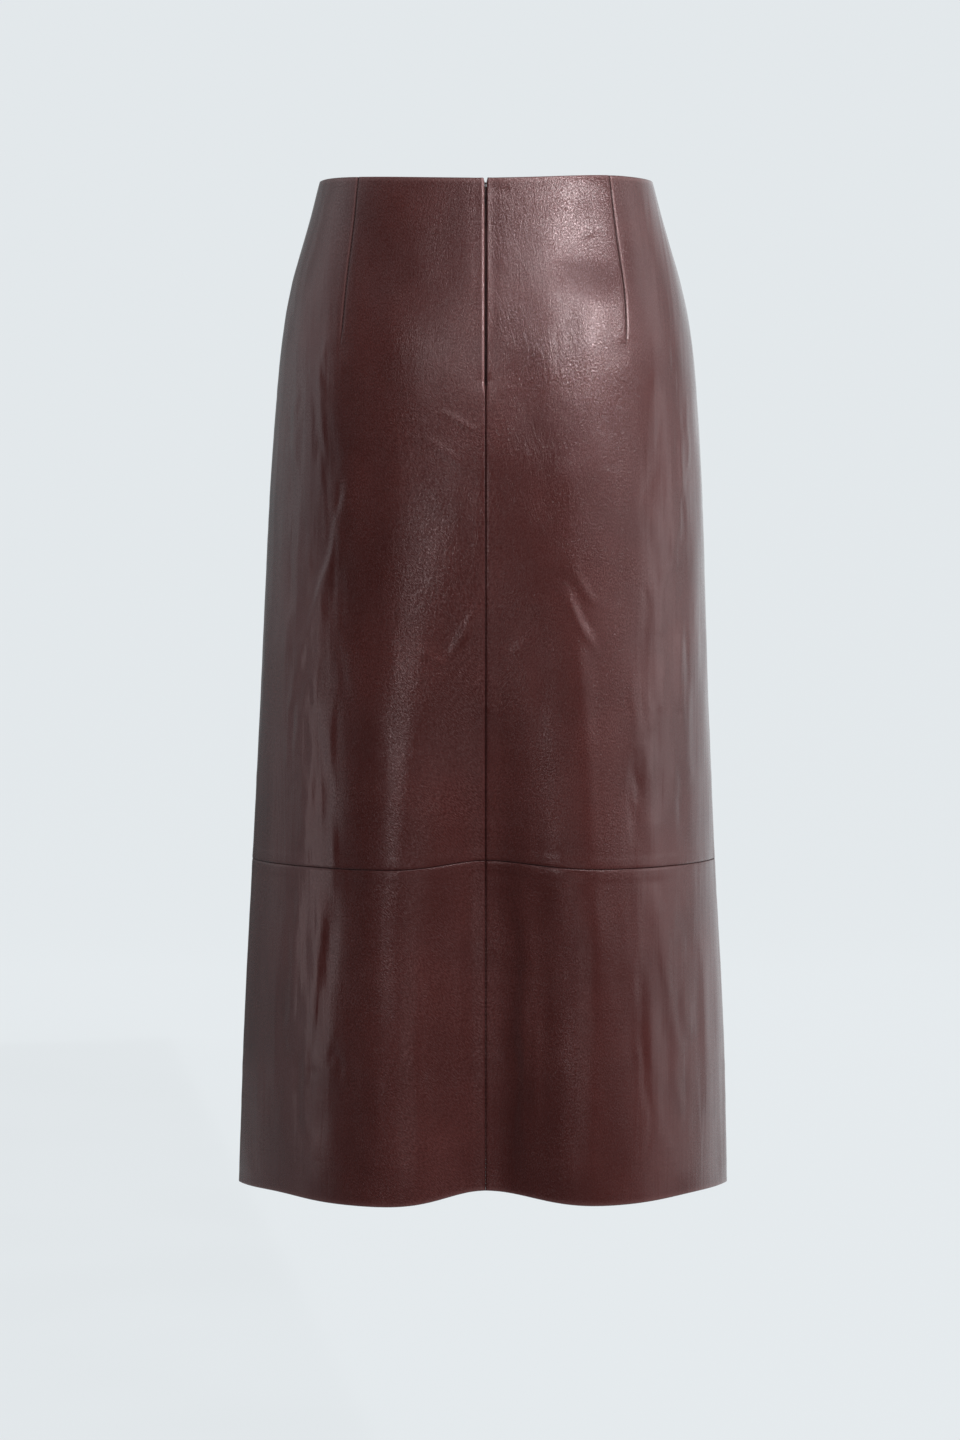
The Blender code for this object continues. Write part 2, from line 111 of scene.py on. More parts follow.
# Darts: places across run from 0 at the centre line to 1 at the side seam
LEFT_BACK_DART = {"waist_place": 0.543, "tip_place": 0.483, "tip_height": -0.1356, "curve": 2.0}
RIGHT_BACK_DART = {"waist_place": 0.519, "tip_place": 0.460, "tip_height": -0.1349, "curve": 0.9}
FRONT_DART = {"waist_place": 0.500, "tip_place": 0.470, "tip_height": -0.0950, "curve": 1.4}
DARTS = {
    True: {-1: LEFT_BACK_DART, 1: RIGHT_BACK_DART},
    False: {-1: FRONT_DART, 1: FRONT_DART},
}
DART_GROOVE = 0.0006
DART_GROOVE_WIDTH = 0.0010
DART_FOLD_RISE = 0.00030
DART_FOLD_WIDTH = 0.0085
DART_FOLD_START = 0.0012
DART_FOLD_OUTER_SHARE = 0.4
DART_LIP_SHARE = 0.35
DART_LIP_PLACE = 0.0016
DART_LIP_WIDTH = 0.0014
DART_FADE = 0.16
DIMPLE_DEPTH = 0.00022
DIMPLE_SIZE = 0.0065

# Leather walls and seams
WAIST_TURN = 0.030
HEM_TURN = 0.034
TURN_STEP = 0.0012
SEAM_HALF_GAP = 0.00003
EDGE_RADIUS = 0.0004
FOLD_RADIUS = 0.0009
ALLOWANCE = 0.0095
ALLOWANCE_RISE = 0.00010
ALLOWANCE_START = (0.0006, 0.0022)
ALLOWANCE_STOP = (ALLOWANCE - 0.003, ALLOWANCE + 0.001)
SEAM_PUCKER = 0.00016
PUCKER_REACH = 0.010
PUCKER_LENGTH = 0.0085

# Each pressed seam's groove: its depth, its width and the seed of its puckers
SEAM_GROOVES = {
    "side": (0.0005, 0.0009, 31),
    "level": (0.00014, 0.0007, 41),
    "centre": (0.0006, 0.0010, 51),
}

# Distances from a side seam, the waist edge and the hem over which the folds fade in, and the
# distance given to an edge that a panel doesn't have
SIDE_CALM = (0.0, 0.010)
WAIST_CALM = (0.0, 0.020)
HEM_CALM = (-0.004, 0.020)
FAR = 1.0

# Lines painted into the colour, as strength, distance from the edge or seam, and spread: pale lines
# of painted highlight below the waist edge, on the zip's folded edge and beside the darts, a pale
# line of rubbed wear at the hem, and dark lines of painted shade in the seams, in the darts'
# grooves and along the top of the waist edge
HIGHLIGHT_WAIST = (0.35, 0.0018, 0.0015)
WORN_HEM = (0.35, 0.0, 0.0025)
HIGHLIGHT_ZIP_EDGE = (1.0, 0.0012, 0.0010)
HIGHLIGHT_DART = (0.6, 0.0013, 0.0007)
SHADED_SIDE = (1.0, 0.0, 0.0006)
SHADED_LEVEL = (0.75, 0.0, 0.0005)
SHADED_WAIST = (0.6, 0.0, 0.0006)
SHADED_CENTRE = (1.0, 0.0, 0.0006)
SHADED_DART = (1.0, -0.0004, 0.0009)

# Stitches: tubes between needle holes, and how far the sewn lines stop short of the edges
STITCH_STATIONS = 6
STITCH_SIDES = 6
STITCH_FILL = 0.80
STITCH_ENDS = (0.02, 0.98)
STITCH_TAPER = 0.35
STITCH_SINK = 0.0013
DART_STITCH_SINK = 0.75 * DART_GROOVE
SEWN_POINTS = 400
DART_SEWN_POINTS = 200
SEWN_BELOW_ZIP = 0.006
SEWN_ABOVE_HEM = {"centre_back": 0.012, "side": 0.006}
SEWN_BELOW_WAIST = {"side": 0.004, "dart": 0.005}
SEWN_SHARE = (0.004, 0.996)

# Concealed zip; the fold beside it is a ridge and a hollow, as height, distance and spread
ZIP_END = -0.1639
ZIP_HALF_GAP = 0.0006
ZIP_END_TAPER = 0.008
NOTCH_HALF_GAP = 0.0015
NOTCH_DEPTH = 0.0035
SLIT_SPREAD = 0.006
ZIP_ROLL_RADIUS = {-1: 0.0028, 1: 0.0010}
ZIP_LIP_WIDTH = 0.0010
ZIP_LIP_START = 0.7
ZIP_LIP_DEPTH = 0.0026
ZIP_FOLD_RIDGE = (0.0003, 0.0012, 0.0014)
ZIP_FOLD_HOLLOW = (-0.00015, 0.006, 0.004)
GATHER_HEIGHT = -0.012
GATHER_SPREAD = 0.010
GATHER_REACH = 0.006
GATHER_WAVE = 0.0052
GATHER_SHIFT = 1.3
GATHER_DEPTH = 0.00028
ZIP_END_DENT = {"above": 0.003, "size": 0.004, "depth": 0.0005}
TAPE_GAP = 0.0003
TAPE_THICK = 0.0005
TAPE_INNER_EDGE = 0.0010
TAPE_OUTER_EDGE = 0.0140
TAPE_TOP = 0.0030
TAPE_TAIL = 0.014
TAPE_ROWS = 132
TAPE_STEPS = (0.0002, 0.0009)
COIL_PLACE = 0.00050
COIL_RADIUS = 0.00065
COIL_WIRE = 0.00026
COIL_PITCH = 0.0013
COIL_TURN_POINTS = 12
COIL_WIRE_SIDES = 6

# Slider and pull, about the pull's hinge: Y points into the skirt and Z up along the wall
HINGE = (0.0, -0.0948, -0.009506)
WALL_LEAN = math.radians(10.836)
PULL_FROM_WALL = math.radians(28.0)
SLIDER_TOP = -0.0029
SLIDER_FOOT = -0.0119
SLIDER_FACE = -0.0017
SLIDER_DEPTH = 0.0031
SLIDER_TOP_HALF_WIDTH = 0.0033
SLIDER_FOOT_HALF_WIDTH = 0.0025
SLIDER_ROUND = 0.0006
SLIDER_POWER = 5.0
SLIDER_STEPS = (0.00005, 0.0004)
EAR_INNER = 0.00065
EAR_THICK = 0.0007
EAR_RADIUS = 0.0011
EAR_POWER = 0.3
EAR_STEPS = (0.00004, 0.0002)
EAR_SIDES = 24
PIN_RADIUS = 0.00045
PIN_DOME = 0.8
PIN_OVERHANG = 0.0002
PIN_STEPS = (0.00004, 0.0003)
PIN_SIDES = 16
RING_SIDES = 32
PULL_BORE_RADIUS = 0.0006
PULL_EYE_RADIUS = 0.00115
PULL_NECK_WIDTH = 0.0008
PULL_NECK_LENGTH = 0.0070
PULL_LENGTH = 0.0185
PULL_WIDTH = 0.0045
PULL_THICK = 0.0009
PULL_SWELL_END = 0.62
PULL_SWELL_POWER = 1.4
PULL_ROUND_START = 0.74
PULL_POWER = 3.2
PULL_DISH = 0.28
PULL_DISH_WIDTH = 0.55
PULL_DISH_START = (PULL_NECK_LENGTH + 0.002, PULL_NECK_LENGTH + 0.005)
PULL_NECK_ROWS = 6
PULL_BLADE_ROWS = 40
PULL_ROW_POWER = 1.5
EYE_POWER = 4.0
EYE_SIDES = 12
EYE_TURNS = 28
METAL_WEAR_START = 0.75

# Zones of the grain side, in metres of girth from the centre line, or of height
FLANK_ZONE = (0.085, 0.150)
CALM_ZONE = (0.100, 0.150)
SLANT_ZONE = (0.060, 0.110)
SLANT_RISE = (-0.12, -0.22)
SLANT_TO_RIGHT = (-0.02, 0.04)
SEAT_ZONE = (0.030, 0.120)
SEAT_RISE = (-0.50, -0.30)

# Grain side: how its cells, pores and pulls lean, in radians, the size of a streak and a pull
# across and along, and each relief's share of the grain's depth
UPRIGHT_TURN = -0.15
SLANT_TURN = -0.85
PORE_TURN = -0.2
PULL_TURN = 0.12
STREAK_SIZE = (0.0059, 0.077)
PULL_SIZE = (0.0042, 0.020)
PATCH_SCALE = 17.0
WANDER_SCALE = 24.0
WANDER_REACH = 0.010
PULL_RELIEF = 0.35
CELL_RELIEF = 0.8
PORE_RELIEF = -0.15

# Finish of the grain side: its shine in the open and in a seam, how much glossier raised grain
# is, how far the pale lines (painted highlights, and rubbed wear at the hem) lighten the colour,
# and how far the painted seam shade darkens it
SHINE_TINT = (1.0, 0.56, 0.60)
SHINE = (0.40, 0.06)
COAT_ROUGHNESS = 0.115
RAISED_GLOSS = 0.95
WEAR_AND_HIGHLIGHT_SHARE = 0.75
SHADE_SHARE = 0.85

# Soft lights, one row each: the direction from the skirt is given by azimuth, 0 towards the
# camera and positive to its right, and elevation, in degrees; sizes and distance in metres.
LIGHT_COLUMNS = ("azimuth", "elevation", "distance", "width", "height", "power")
LIGHTS = {
    "key_softbox": (49.5, 24.2, 2.6, 0.95, 0.28, 23.5),
    "right_upper": (82.0, 24.0, 2.8, 1.90, 0.80, 3.8),
    "right_panel": (71.0, 4.0, 2.8, 3.10, 0.95, 6.8),
    "right_low": (95.0, -8.0, 2.6, 1.60, 1.20, 2.2),
    "right_wall": (112.0, 2.0, 2.4, 1.60, 2.60, 1.3),
    "front_right": (25.0, 32.0, 3.4, 1.75, 0.42, 12.0),
    "front_band": (-10.0, 22.0, 3.3, 2.60, 0.45, 8.8),
    "front_left": (-19.0, 0.0, 3.4, 1.15, 0.46, 4.9),
    "front_low": (13.0, -12.0, 2.4, 1.20, 0.32, 1.0),
    "left_low": (-82.0, -7.0, 3.0, 0.95, 0.70, 1.5),
    "overhead": (35.0, 50.0, 4.0, 3.00, 2.20, 56.0),
}
LIGHT_TARGET = (0.0, 0.0, -0.34)
AMBIENT = (0.79, 0.825, 0.85)
AMBIENT_STRENGTH = 0.8

# Cards that keep the pale room from shining on the side that faces the camera: black in front,
# and glowing faintly, as a soft light, from the edges of the view backwards
CARD_DISTANCE = 3.9
CARD_ARC = (-172.0, 116.0)
CARD_HEIGHT = 3.4
CARD_LIFT = 0.02
CARD_DRAPE = 0.35
FLOOR_CARD_EDGE = 0.3
CARD_GLOW = 0.72
CARD_GLOW_FROM = (-1.7, 0.2)
CARD_GLOW_TO = (0.9, 3.4)
CARD_GLOW_RISE = (-1.1, 0.5)

# Camera: the frame is 1440 pixels high, of 0.79 mm each at the skirt
CAMERA_DISTANCE = 3.2
CAMERA_PLACE = (-0.0043, -CAMERA_DISTANCE, -0.2814)
CAMERA_PITCH = math.radians(2.54)
SENSOR_MM = 36.0
VIEW_HEIGHT = 1440 * 0.00079

# Sweep: the floor, a bend and a wall
PAPER_GLOW = 0.95
PAPER_DARKENED = 0.96
SWEEP_HALF_WIDTH = 9.0
SWEEP_FRONT = -9.0
SWEEP_WALL = 7.5
SWEEP_RADIUS = 2.5
SWEEP_TOP = 7.0
SWEEP_POINTS = {"floor": 12, "bend": 24, "across": 13}

# Fineness of the meshes
FINE_STEP = 0.00035
COLUMN_STEP = 0.0027
FRONT_COLUMN_STEP = 0.0034
ROW_STEP = 0.0020
FRONT_ROW_STEP = 0.0027
LOWER_STEP = 0.0019
STEP_REACH = 0.012
GRADING_POINTS = 1200
GIRTH_POINTS = 240


# ---------------------------------------------------------------------------- numbers and curves


def bump(distance, spread):
    """Bell curve: the exponential of minus the square of distance over spread."""
    return np.exp(-((distance / spread) ** 2))


def line_beside(distance, line):
    """Bell curve at a distance from an edge, by its strength, its place and its spread."""
    strength, place, spread = line
    return strength * bump(distance - place, spread)


def smooth_step(value, start, stop):
    """0 before start, 1 after stop, and between them t * t * (3 - 2 * t)."""
    t = np.clip((value - start) / (stop - start), 0, 1)
    return t * t * (3 - 2 * t)


def spline(knots, values, at):
    """Natural cubic spline: cubics that meet in slope and in bend, straight at both ends."""
    span = np.diff(knots)
    slope = np.diff(values) / span
    count = len(knots)
    system = np.diag(2 * (span[:-1] + span[1:])) + np.diag(span[1:-1], 1) + np.diag(span[1:-1], -1)
    bend = np.zeros(count)
    bend[1:-1] = np.linalg.solve(system, 6 * np.diff(slope))
    at = np.clip(at, knots[0], knots[-1])
    low = np.clip(np.searchsorted(knots, at) - 1, 0, count - 2)
    width = span[low]
    left = at - knots[low]
    right = knots[low + 1] - at
    curved = (bend[low] * right**3 + bend[low + 1] * left**3) / (6 * width)
    from_low = (values[low] / width - bend[low] * width / 6) * right
    from_high = (values[low + 1] / width - bend[low + 1] * width / 6) * left
    return curved + from_low + from_high


def lattice_noise(u, v, seed):
    """Smooth noise, -1 to 1: random values on a square lattice, blended by 3t^2 - 2t^3."""
    low_u = np.floor(u).astype(int)
    low_v = np.floor(v).astype(int)
    blend_u = smooth_step(u - low_u, 0, 1)
    blend_v = smooth_step(v - low_v, 0, 1)
    columns = low_u - low_u.min()
    rows = low_v - low_v.min()
    values = np.random.default_rng(seed).uniform(-1, 1, (rows.max() + 2, columns.max() + 2))
    foot = values[rows, columns] * (1 - blend_u) + values[rows, columns + 1] * blend_u
    head = values[rows + 1, columns] * (1 - blend_u) + values[rows + 1, columns + 1] * blend_u
    return foot * (1 - blend_v) + head * blend_v


def lengths_along(points):
    """Length along a line of points up to each of them: the distances added up."""
    return np.concatenate([[0], np.cumsum(np.linalg.norm(np.diff(points, axis=0), axis=1))])


def graded(marks, fine, coarse):
    """Places through every mark: the spacing is fine at a mark and grows to coarse between."""
    places = [marks[0]]
    for start, stop in zip(marks, marks[1:]):
        line = np.linspace(start, stop, GRADING_POINTS)
        away = np.minimum(line - start, stop - line)
        spacing = coarse - (coarse - fine) * np.exp(-away / STEP_REACH)
        steps = np.concatenate([[0], np.cumsum(np.diff(line) / spacing[1:])])
        count = math.ceil(steps[-1])
        places.extend(np.interp(np.linspace(0, steps[-1], count + 1)[1:], steps, line))
    return np.array(places)


# ---------------------------------------------------------------------------- the worn form


def form(column, height):
    """The named size at each height: a natural spline through the rows of FORM."""
    rows = np.array(FORM)[::-1]
    return spline(rows[:, 0], rows[:, FORM_COLUMNS.index(column)], height)


def slit_half_gap(height):
    """Half the width between the back edges: wide at the notch, then the zip, then the seam."""
    below_waist = -BACK_WAIST_DIP - height
    notch = (NOTCH_HALF_GAP - ZIP_HALF_GAP) * np.clip(1 - below_waist / NOTCH_DEPTH, 0, 1)
    opened = zip_share(height)
    return SEAM_HALF_GAP + (ZIP_HALF_GAP - SEAM_HALF_GAP) * opened + notch


def zip_share(height):
    """1 beside the zip and 0 below it, with a short taper at the zip's end."""
    return np.clip((height - ZIP_END) / ZIP_END_TAPER + 1, 0, 1)


def share_of_width(across, height):
    """Share of the half width: the sine of an angle that grows as the arc does."""
    edge = form("side_edge", height)
    return np.sin((1 - (1 - np.abs(across)) ** (1 / (2 * edge))) * math.pi / 2)


def outline_point(share, side, height, back):
    """Point of the plan outline: depth = (1 - share^p)^edge, less the hollow's bell curve."""
    half_width = form("half_width", height)
    edge = form("side_edge", height)
    power = PLAN_POWER + PLAN_POWER_RISE * (edge - 0.5)
    oval = np.clip(1 - share**power, 0, 1) ** edge
    lean = form("side_lean", height) * share**2
    if back:
        hollow = form("back_hollow", height) * bump(half_width * share, BACK_HOLLOW_WIDTH)
        depth = hollow - form("back_depth", height) * oval
    else:
        hollow = form("front_hollow", height) * bump(half_width * share, FRONT_HOLLOW_WIDTH)
        depth = form("front_depth", height) * oval - hollow
    return np.stack([side * half_width * share + lean, depth, height + 0 * depth], axis=-1)


def on_form(across, height, back):
    """Point of the outer form; the back edges part sideways by the slit, fading with distance."""
    side = np.where(across < 0, -1.0, 1.0)
    share = share_of_width(across, height)
    if back:
        half_width = form("half_width", height)
        opened = slit_half_gap(height) * np.exp(-half_width * share / SLIT_SPREAD)
        share = np.minimum(share + opened / half_width * (1 - share), 1)
    return outline_point(share, side, height, back)


def form_normal(across, height, back):
    """Outward unit normal: the cross product of differences along the arc and up the height."""
    side = np.where(across < 0, -1.0, 1.0)
    near = side * np.clip(np.abs(across) - NORMAL_STEP, NEAR_CENTRE, 1)
    far = side * np.clip(np.abs(across) + NORMAL_STEP, NEAR_CENTRE, 1)
    along = on_form(far, height, back) - on_form(near, height, back)
    rise = on_form(across, height + NORMAL_STEP, back)
    rise = rise - on_form(across, height - NORMAL_STEP, back)
    normal = np.cross(along, rise) * (side if back else -side)[..., None]
    return normal / np.linalg.norm(normal, axis=-1, keepdims=True)


def girth_to(x, height, back):
    """Arc length from the centre line to the place that is x wide of it, at one height."""
    share = np.linspace(0, 0.999, GIRTH_POINTS)
    line = outline_point(share, 1.0, np.full_like(share, height), back)
    return np.interp(abs(x), line[:, 0], lengths_along(line))


# ---------------------------------------------------------------------------- edges of the cut


def by_side(table, across):
    """The table's value for the half that each place lies on, -1 or 1."""
    return np.where(across < 0, table[-1], table[1])


def waist_edge(across, back):
    """Height of the waist edge: it dips to the centre back and rises to the centre front."""
    facing = np.cos(np.abs(across) * math.pi / 2)
    if not back:
        return FRONT_WAIST_RISE * facing**FRONT_WAIST_POWER
    crown = bump(np.abs(across) - WAIST_CROWN_PLACE, WAIST_CROWN_SPREAD)
    return by_side(WAIST_CROWN, across) * crown - BACK_WAIST_DIP * facing**BACK_WAIST_POWER


def centre_lift(lift, across, level):
    """How far the taut centre-back seam lifts an edge, as a bell curve of the width."""
    x = form("half_width", level) * share_of_width(across, level)
    return lift * bump(x, by_side(CENTRE_LIFT_SPREAD, across))


def level_seam(across, back):
    level = np.full_like(across, LEVEL_SEAM)
    return level + centre_lift(SEAM_CENTRE_LIFT, across, level) if back else level


def hem_line(across, back):
    """Height of the hem: lifted at the centre-back seam and on the flanks."""
    level = np.full_like(across, HEM)
    if not back:
        return level
    x = form("half_width", level) * share_of_width(across, level)
    flank = by_side(HEM_FLANK_LIFT, across) * bump(x - HEM_FLANK_PLACE, HEM_FLANK_SPREAD)
    flank = flank * (1 - np.abs(across) ** SIDE_FADE)
    return level + centre_lift(HEM_CENTRE_LIFT, across, level) + flank


def above_level_seam(across, back):
    return level_seam(across, back) + SEAM_HALF_GAP


def below_level_seam(across, back):
    return level_seam(across, back) - SEAM_HALF_GAP


# ---------------------------------------------------------------------------- folds and creases

# Soft folds, one row each, as seen from the outside of their half of the skirt: they run from
# (x_top, z_top) to (x_foot, z_foot), bow sideways by bow in the middle, are bell-shaped across
# with that width, and stand out by depth (a trough's depth is negative).
CREASE_COLUMNS = ("x_top", "z_top", "x_foot", "z_foot", "bow", "width", "depth")
BACK_CREASES = (
    # left flank: a long fold from below the dart and a second one that joins it from the side
    (-0.1050, -0.2300, -0.1370, -0.3560, 0.0020, 0.0063, 0.00088),
    (-0.1130, -0.2420, -0.1430, -0.3600, 0.0020, 0.0094, -0.00055),
    (-0.1390, -0.1450, -0.1205, -0.2860, 0.0040, 0.0034, -0.00035),
    (-0.1270, -0.1650, -0.1120, -0.2700, 0.0030, 0.0080, -0.00025),
    (-0.1050, -0.3600, -0.1010, -0.4050, 0.0000, 0.0056, 0.00044),
    (-0.1150, -0.3950, -0.1190, -0.4700, -0.0030, 0.0069, 0.00061),
    (-0.1270, -0.4250, -0.1230, -0.5050, 0.0020, 0.0056, -0.00061),
    (-0.1350, -0.4400, -0.1380, -0.5220, 0.0015, 0.0063, 0.00061),
    (-0.1440, -0.3900, -0.1500, -0.4700, 0.0010, 0.0063, 0.00055),
    (-0.1490, -0.2200, -0.1530, -0.3300, 0.0015, 0.0069, -0.00049),
    (-0.1540, -0.3300, -0.1590, -0.4300, 0.0010, 0.0063, 0.00055),
    (-0.1160, -0.4900, -0.1180, -0.5600, 0.0010, 0.0050, 0.00049),
    (-0.1200, -0.5450, -0.1240, -0.6300, 0.0020, 0.0069, -0.00061),
    (-0.1290, -0.5800, -0.1330, -0.6900, -0.0020, 0.0075, 0.00072),
    (-0.1480, -0.5600, -0.1510, -0.6600, 0.0015, 0.0069, 0.00061),
    (-0.1430, -0.6500, -0.1490, -0.7500, 0.0020, 0.0081, -0.00066),
    (-0.1180, -0.6600, -0.1220, -0.7700, -0.0015, 0.0100, 0.00066),
    (-0.1620, -0.6100, -0.1650, -0.7200, 0.0010, 0.0075, 0.00061),
    # seat and centre: short slanting drags towards the end of the zip and the seam
    (-0.0360, -0.1830, -0.0040, -0.2020, 0.0010, 0.0030, 0.0006),
    (-0.0480, -0.2010, -0.0140, -0.2290, 0.0010, 0.0045, 0.0005),
    (-0.0090, -0.3300, -0.0320, -0.3760, 0.0020, 0.0044, 0.0011),
    (-0.0480, -0.3640, -0.0280, -0.3780, 0.0000, 0.0036, 0.0010),
    (0.0390, -0.3300, 0.0210, -0.3640, 0.0020, 0.0060, -0.0006),
    # right of the zip: a small slanting dent in the seat's highest part
    (0.0866, -0.0400, 0.0730, -0.0510, 0.0000, 0.0032, -0.0003),
    # right flank: two sharp slanting folds, then a soft shoulder above them
    (0.0620, -0.2800, 0.0790, -0.5400, 0.0020, 0.0150, 0.0018),
    (0.0420, -0.3300, 0.0440, -0.5400, 0.0020, 0.0160, -0.0014),
    (0.0600, -0.3130, 0.0870, -0.3700, -0.0030, 0.0040, 0.0008),
    (0.0640, -0.3080, 0.0800, -0.3560, -0.0030, 0.0046, -0.0005),
    (0.0680, -0.2990, 0.0850, -0.3320, -0.0030, 0.0036, 0.0006),
    (0.0540, -0.1980, 0.0600, -0.3080, 0.0010, 0.0120, 0.0003),
    (0.1400, -0.3000, 0.1360, -0.3560, -0.0030, 0.0063, 0.00066),
    (0.1290, -0.2800, 0.1330, -0.3500, 0.0010, 0.0075, -0.00044),
    (0.1500, -0.2050, 0.1480, -0.2900, 0.0010, 0.0069, 0.00055),
    (0.1490, -0.3550, 0.1490, -0.4150, 0.0010, 0.0056, 0.00072),
    (0.1580, -0.3900, 0.1600, -0.4700, -0.0015, 0.0063, 0.00061),
    (0.1330, -0.4100, 0.1290, -0.5000, 0.0020, 0.0075, -0.00055),
    (0.1240, -0.4350, 0.1290, -0.5250, 0.0015, 0.0075, 0.00055),
    (0.1490, -0.4500, 0.1520, -0.5350, 0.0010, 0.0063, -0.00055),
    (0.1310, -0.5450, 0.1350, -0.6400, 0.0020, 0.0088, 0.00055),
    (0.1530, -0.5600, 0.1560, -0.6700, -0.0015, 0.0081, 0.00066),
    (0.1370, -0.6300, 0.1420, -0.7500, 0.0020, 0.0100, -0.00061),
    (0.1680, -0.5900, 0.1720, -0.7300, 0.0010, 0.0075, 0.00072),
    # below the seam: long soft folds beside the centre hollow
    (-0.0480, -0.5500, -0.0420, -0.7400, 0.0020, 0.0120, -0.0012),
    (-0.0230, -0.5700, -0.0250, -0.7300, -0.0015, 0.0060, 0.0007),
    (0.0190, -0.5450, 0.0170, -0.7800, 0.0020, 0.0130, -0.0018),
    (0.0420, -0.5350, 0.0400, -0.8000, 0.0020, 0.0200, -0.0026),
    (0.0800, -0.5350, 0.0790, -0.8000, 0.0020, 0.0180, 0.0024),
    (0.0330, -0.5800, 0.0300, -0.7500, 0.0010, 0.0040, -0.0005),
)
FRONT_CREASES = (
    (-0.1480, -0.2100, -0.1420, -0.3400, 0.0020, 0.0069, 0.00066),
    (-0.1350, -0.2600, -0.1400, -0.3800, -0.0020, 0.0081, -0.00061),
    (-0.1180, -0.3300, -0.1260, -0.4500, 0.0020, 0.0075, 0.00066),
    (-0.1560, -0.3900, -0.1530, -0.5100, 0.0015, 0.0069, 0.00061),
    (-0.0700, -0.2300, -0.0950, -0.3100, 0.0030, 0.0050, 0.0012),
    (-0.0300, -0.1500, -0.0550, -0.1800, 0.0010, 0.0045, 0.0006),
    (0.0300, -0.1560, 0.0600, -0.1840, 0.0010, 0.0045, 0.0006),
    (0.0750, -0.2400, 0.1020, -0.3300, -0.0030, 0.0050, 0.0013),
    (0.0660, -0.2500, 0.0930, -0.3350, -0.0030, 0.0065, -0.0009),
    (0.1220, -0.3000, 0.1180, -0.4300, 0.0020, 0.0075, 0.00061),
    (0.1410, -0.2200, 0.1450, -0.3500, 0.0015, 0.0069, -0.00055),
    (0.1540, -0.3400, 0.1560, -0.4600, 0.0010, 0.0069, 0.00066),
    (0.1360, -0.4300, 0.1330, -0.5250, 0.0015, 0.0075, 0.00055),
    (-0.1400, -0.5600, -0.1450, -0.6900, 0.0020, 0.0081, 0.00066),
    (-0.1150, -0.6000, -0.1120, -0.7400, 0.0020, 0.0106, -0.00066),
    (-0.0550, -0.5800, -0.0500, -0.7500, 0.0020, 0.0120, -0.0012),
    (0.0480, -0.5700, 0.0560, -0.7500, 0.0020, 0.0120, -0.0011),
    (0.1180, -0.5900, 0.1220, -0.7200, 0.0020, 0.0100, 0.00066),
    (0.1520, -0.5700, 0.1560, -0.7000, 0.0015, 0.0075, 0.00066),
)
CREASE_STATIONS = 9
CREASE_SIDES = (0.62, 1.35)
CREASE_WAVE = 0.016
CREASE_WAVE_WIDTH = 0.0045
CREASE_SWAY = 0.25
CREASE_SWELL = 0.4
CREASE_FADE_POWER = 0.8

# Broad low swellings and hollows: place (x, z), half sizes across, up and down, and depth
SWELLING_COLUMNS = ("x", "z", "across", "up", "down", "depth")
BACK_SWELLINGS = (
    (0.0800, -0.0660, 0.0340, 0.0400, 0.0180, -0.00280),
    (0.0700, -0.0140, 0.0260, 0.0120, 0.0120, -0.00045),
    (0.0120, -0.0134, 0.0100, 0.0060, 0.0060, -0.00100),
    (-0.0750, -0.0780, 0.0400, 0.0260, 0.0260, -0.00050),
    (-0.0600, -0.1300, 0.0300, 0.0360, 0.0360, 0.00060),
    (0.0320, -0.1700, 0.0220, 0.0300, 0.0300, -0.00060),
    (-0.0900, -0.2300, 0.0180, 0.0700, 0.0700, -0.00080),
    (0.1180, -0.2100, 0.0160, 0.0700, 0.0700, -0.00060),
)
FRONT_SWELLINGS = (
    (-0.0700, -0.0900, 0.0400, 0.0300, 0.0300, -0.00060),
    (0.0720, -0.0950, 0.0400, 0.0300, 0.0300, -0.00060),
    (0.0000, -0.1300, 0.0500, 0.0500, 0.0500, 0.00070),
)

# Small upright creases that crowd the sides of the skirt, placed by a seeded draw
FINE_CREASES = {"upper": 46, "lower": 26}
FINE_CREASE_REACH = (0.118, 0.185)
FINE_CREASE_LENGTH = (0.030, 0.105)
FINE_CREASE_WIDTH = (0.0025, 0.0065)
FINE_CREASE_DEPTH = (0.00010, 0.00045)
FINE_CREASE_SWAY = 0.004
FINE_CREASE_POINTS = 4
FINE_CREASE_SPAN = {
    "upper": (LEVEL_SEAM + 0.004, -0.115),
    "lower": (HEM + 0.02, LEVEL_SEAM - 0.004),
}
FINE_CREASE_SEED = 7

# Slack of the leather over the whole surface, and the patches in which it wrinkles finely
SEAT_WRINKLE = {"width": 0.0042, "length": 0.026, "depth": 0.00011}
WRINKLE_PATCH = {"width": 0.05, "length": 0.07, "range": (-0.4, 0.6)}
SLACK = {"width": 0.019, "length": 0.060, "depth": 0.00045}
SLACK_SHIFT = 1.0
SLACK_SEEDS = {"back_upper": 100, "front_upper": 111, "back_lower": 200, "front_lower": 211}


def crease(girth, height, path, width, depth, seed):
    """Ridge or trough along a path given as girth by height, fading out at both ends.

    The path's girth at each height is a spline through its points, shaken by noise, whose waves
    are longer for a wide crease. Across it the shape is a bell curve, steeper on one side. Its
    depth swells and sinks along the path with noise, and fades as a power of the sine of the
    share of its length.
    """
    places, heights = path
    wave = CREASE_WAVE * max(1.0, width / CREASE_WAVE_WIDTH)
    uneven = lattice_noise(height / wave, 0 * height, seed)
    centre = spline(heights, places, height) + CREASE_SWAY * width * uneven
    along = np.clip((height - heights[0]) / (heights[-1] - heights[0]), 0, 1)
    swell = 1 + CREASE_SWELL * lattice_noise(height / wave, 1 + 0 * height, seed + 1)
    fade = np.sin(along * math.pi) ** CREASE_FADE_POWER * swell
    across = (girth - centre) / width
    steep, easy = CREASE_SIDES if seed % 2 else CREASE_SIDES[::-1]
    return depth * fade * bump(across, np.where(across < 0, steep, easy))


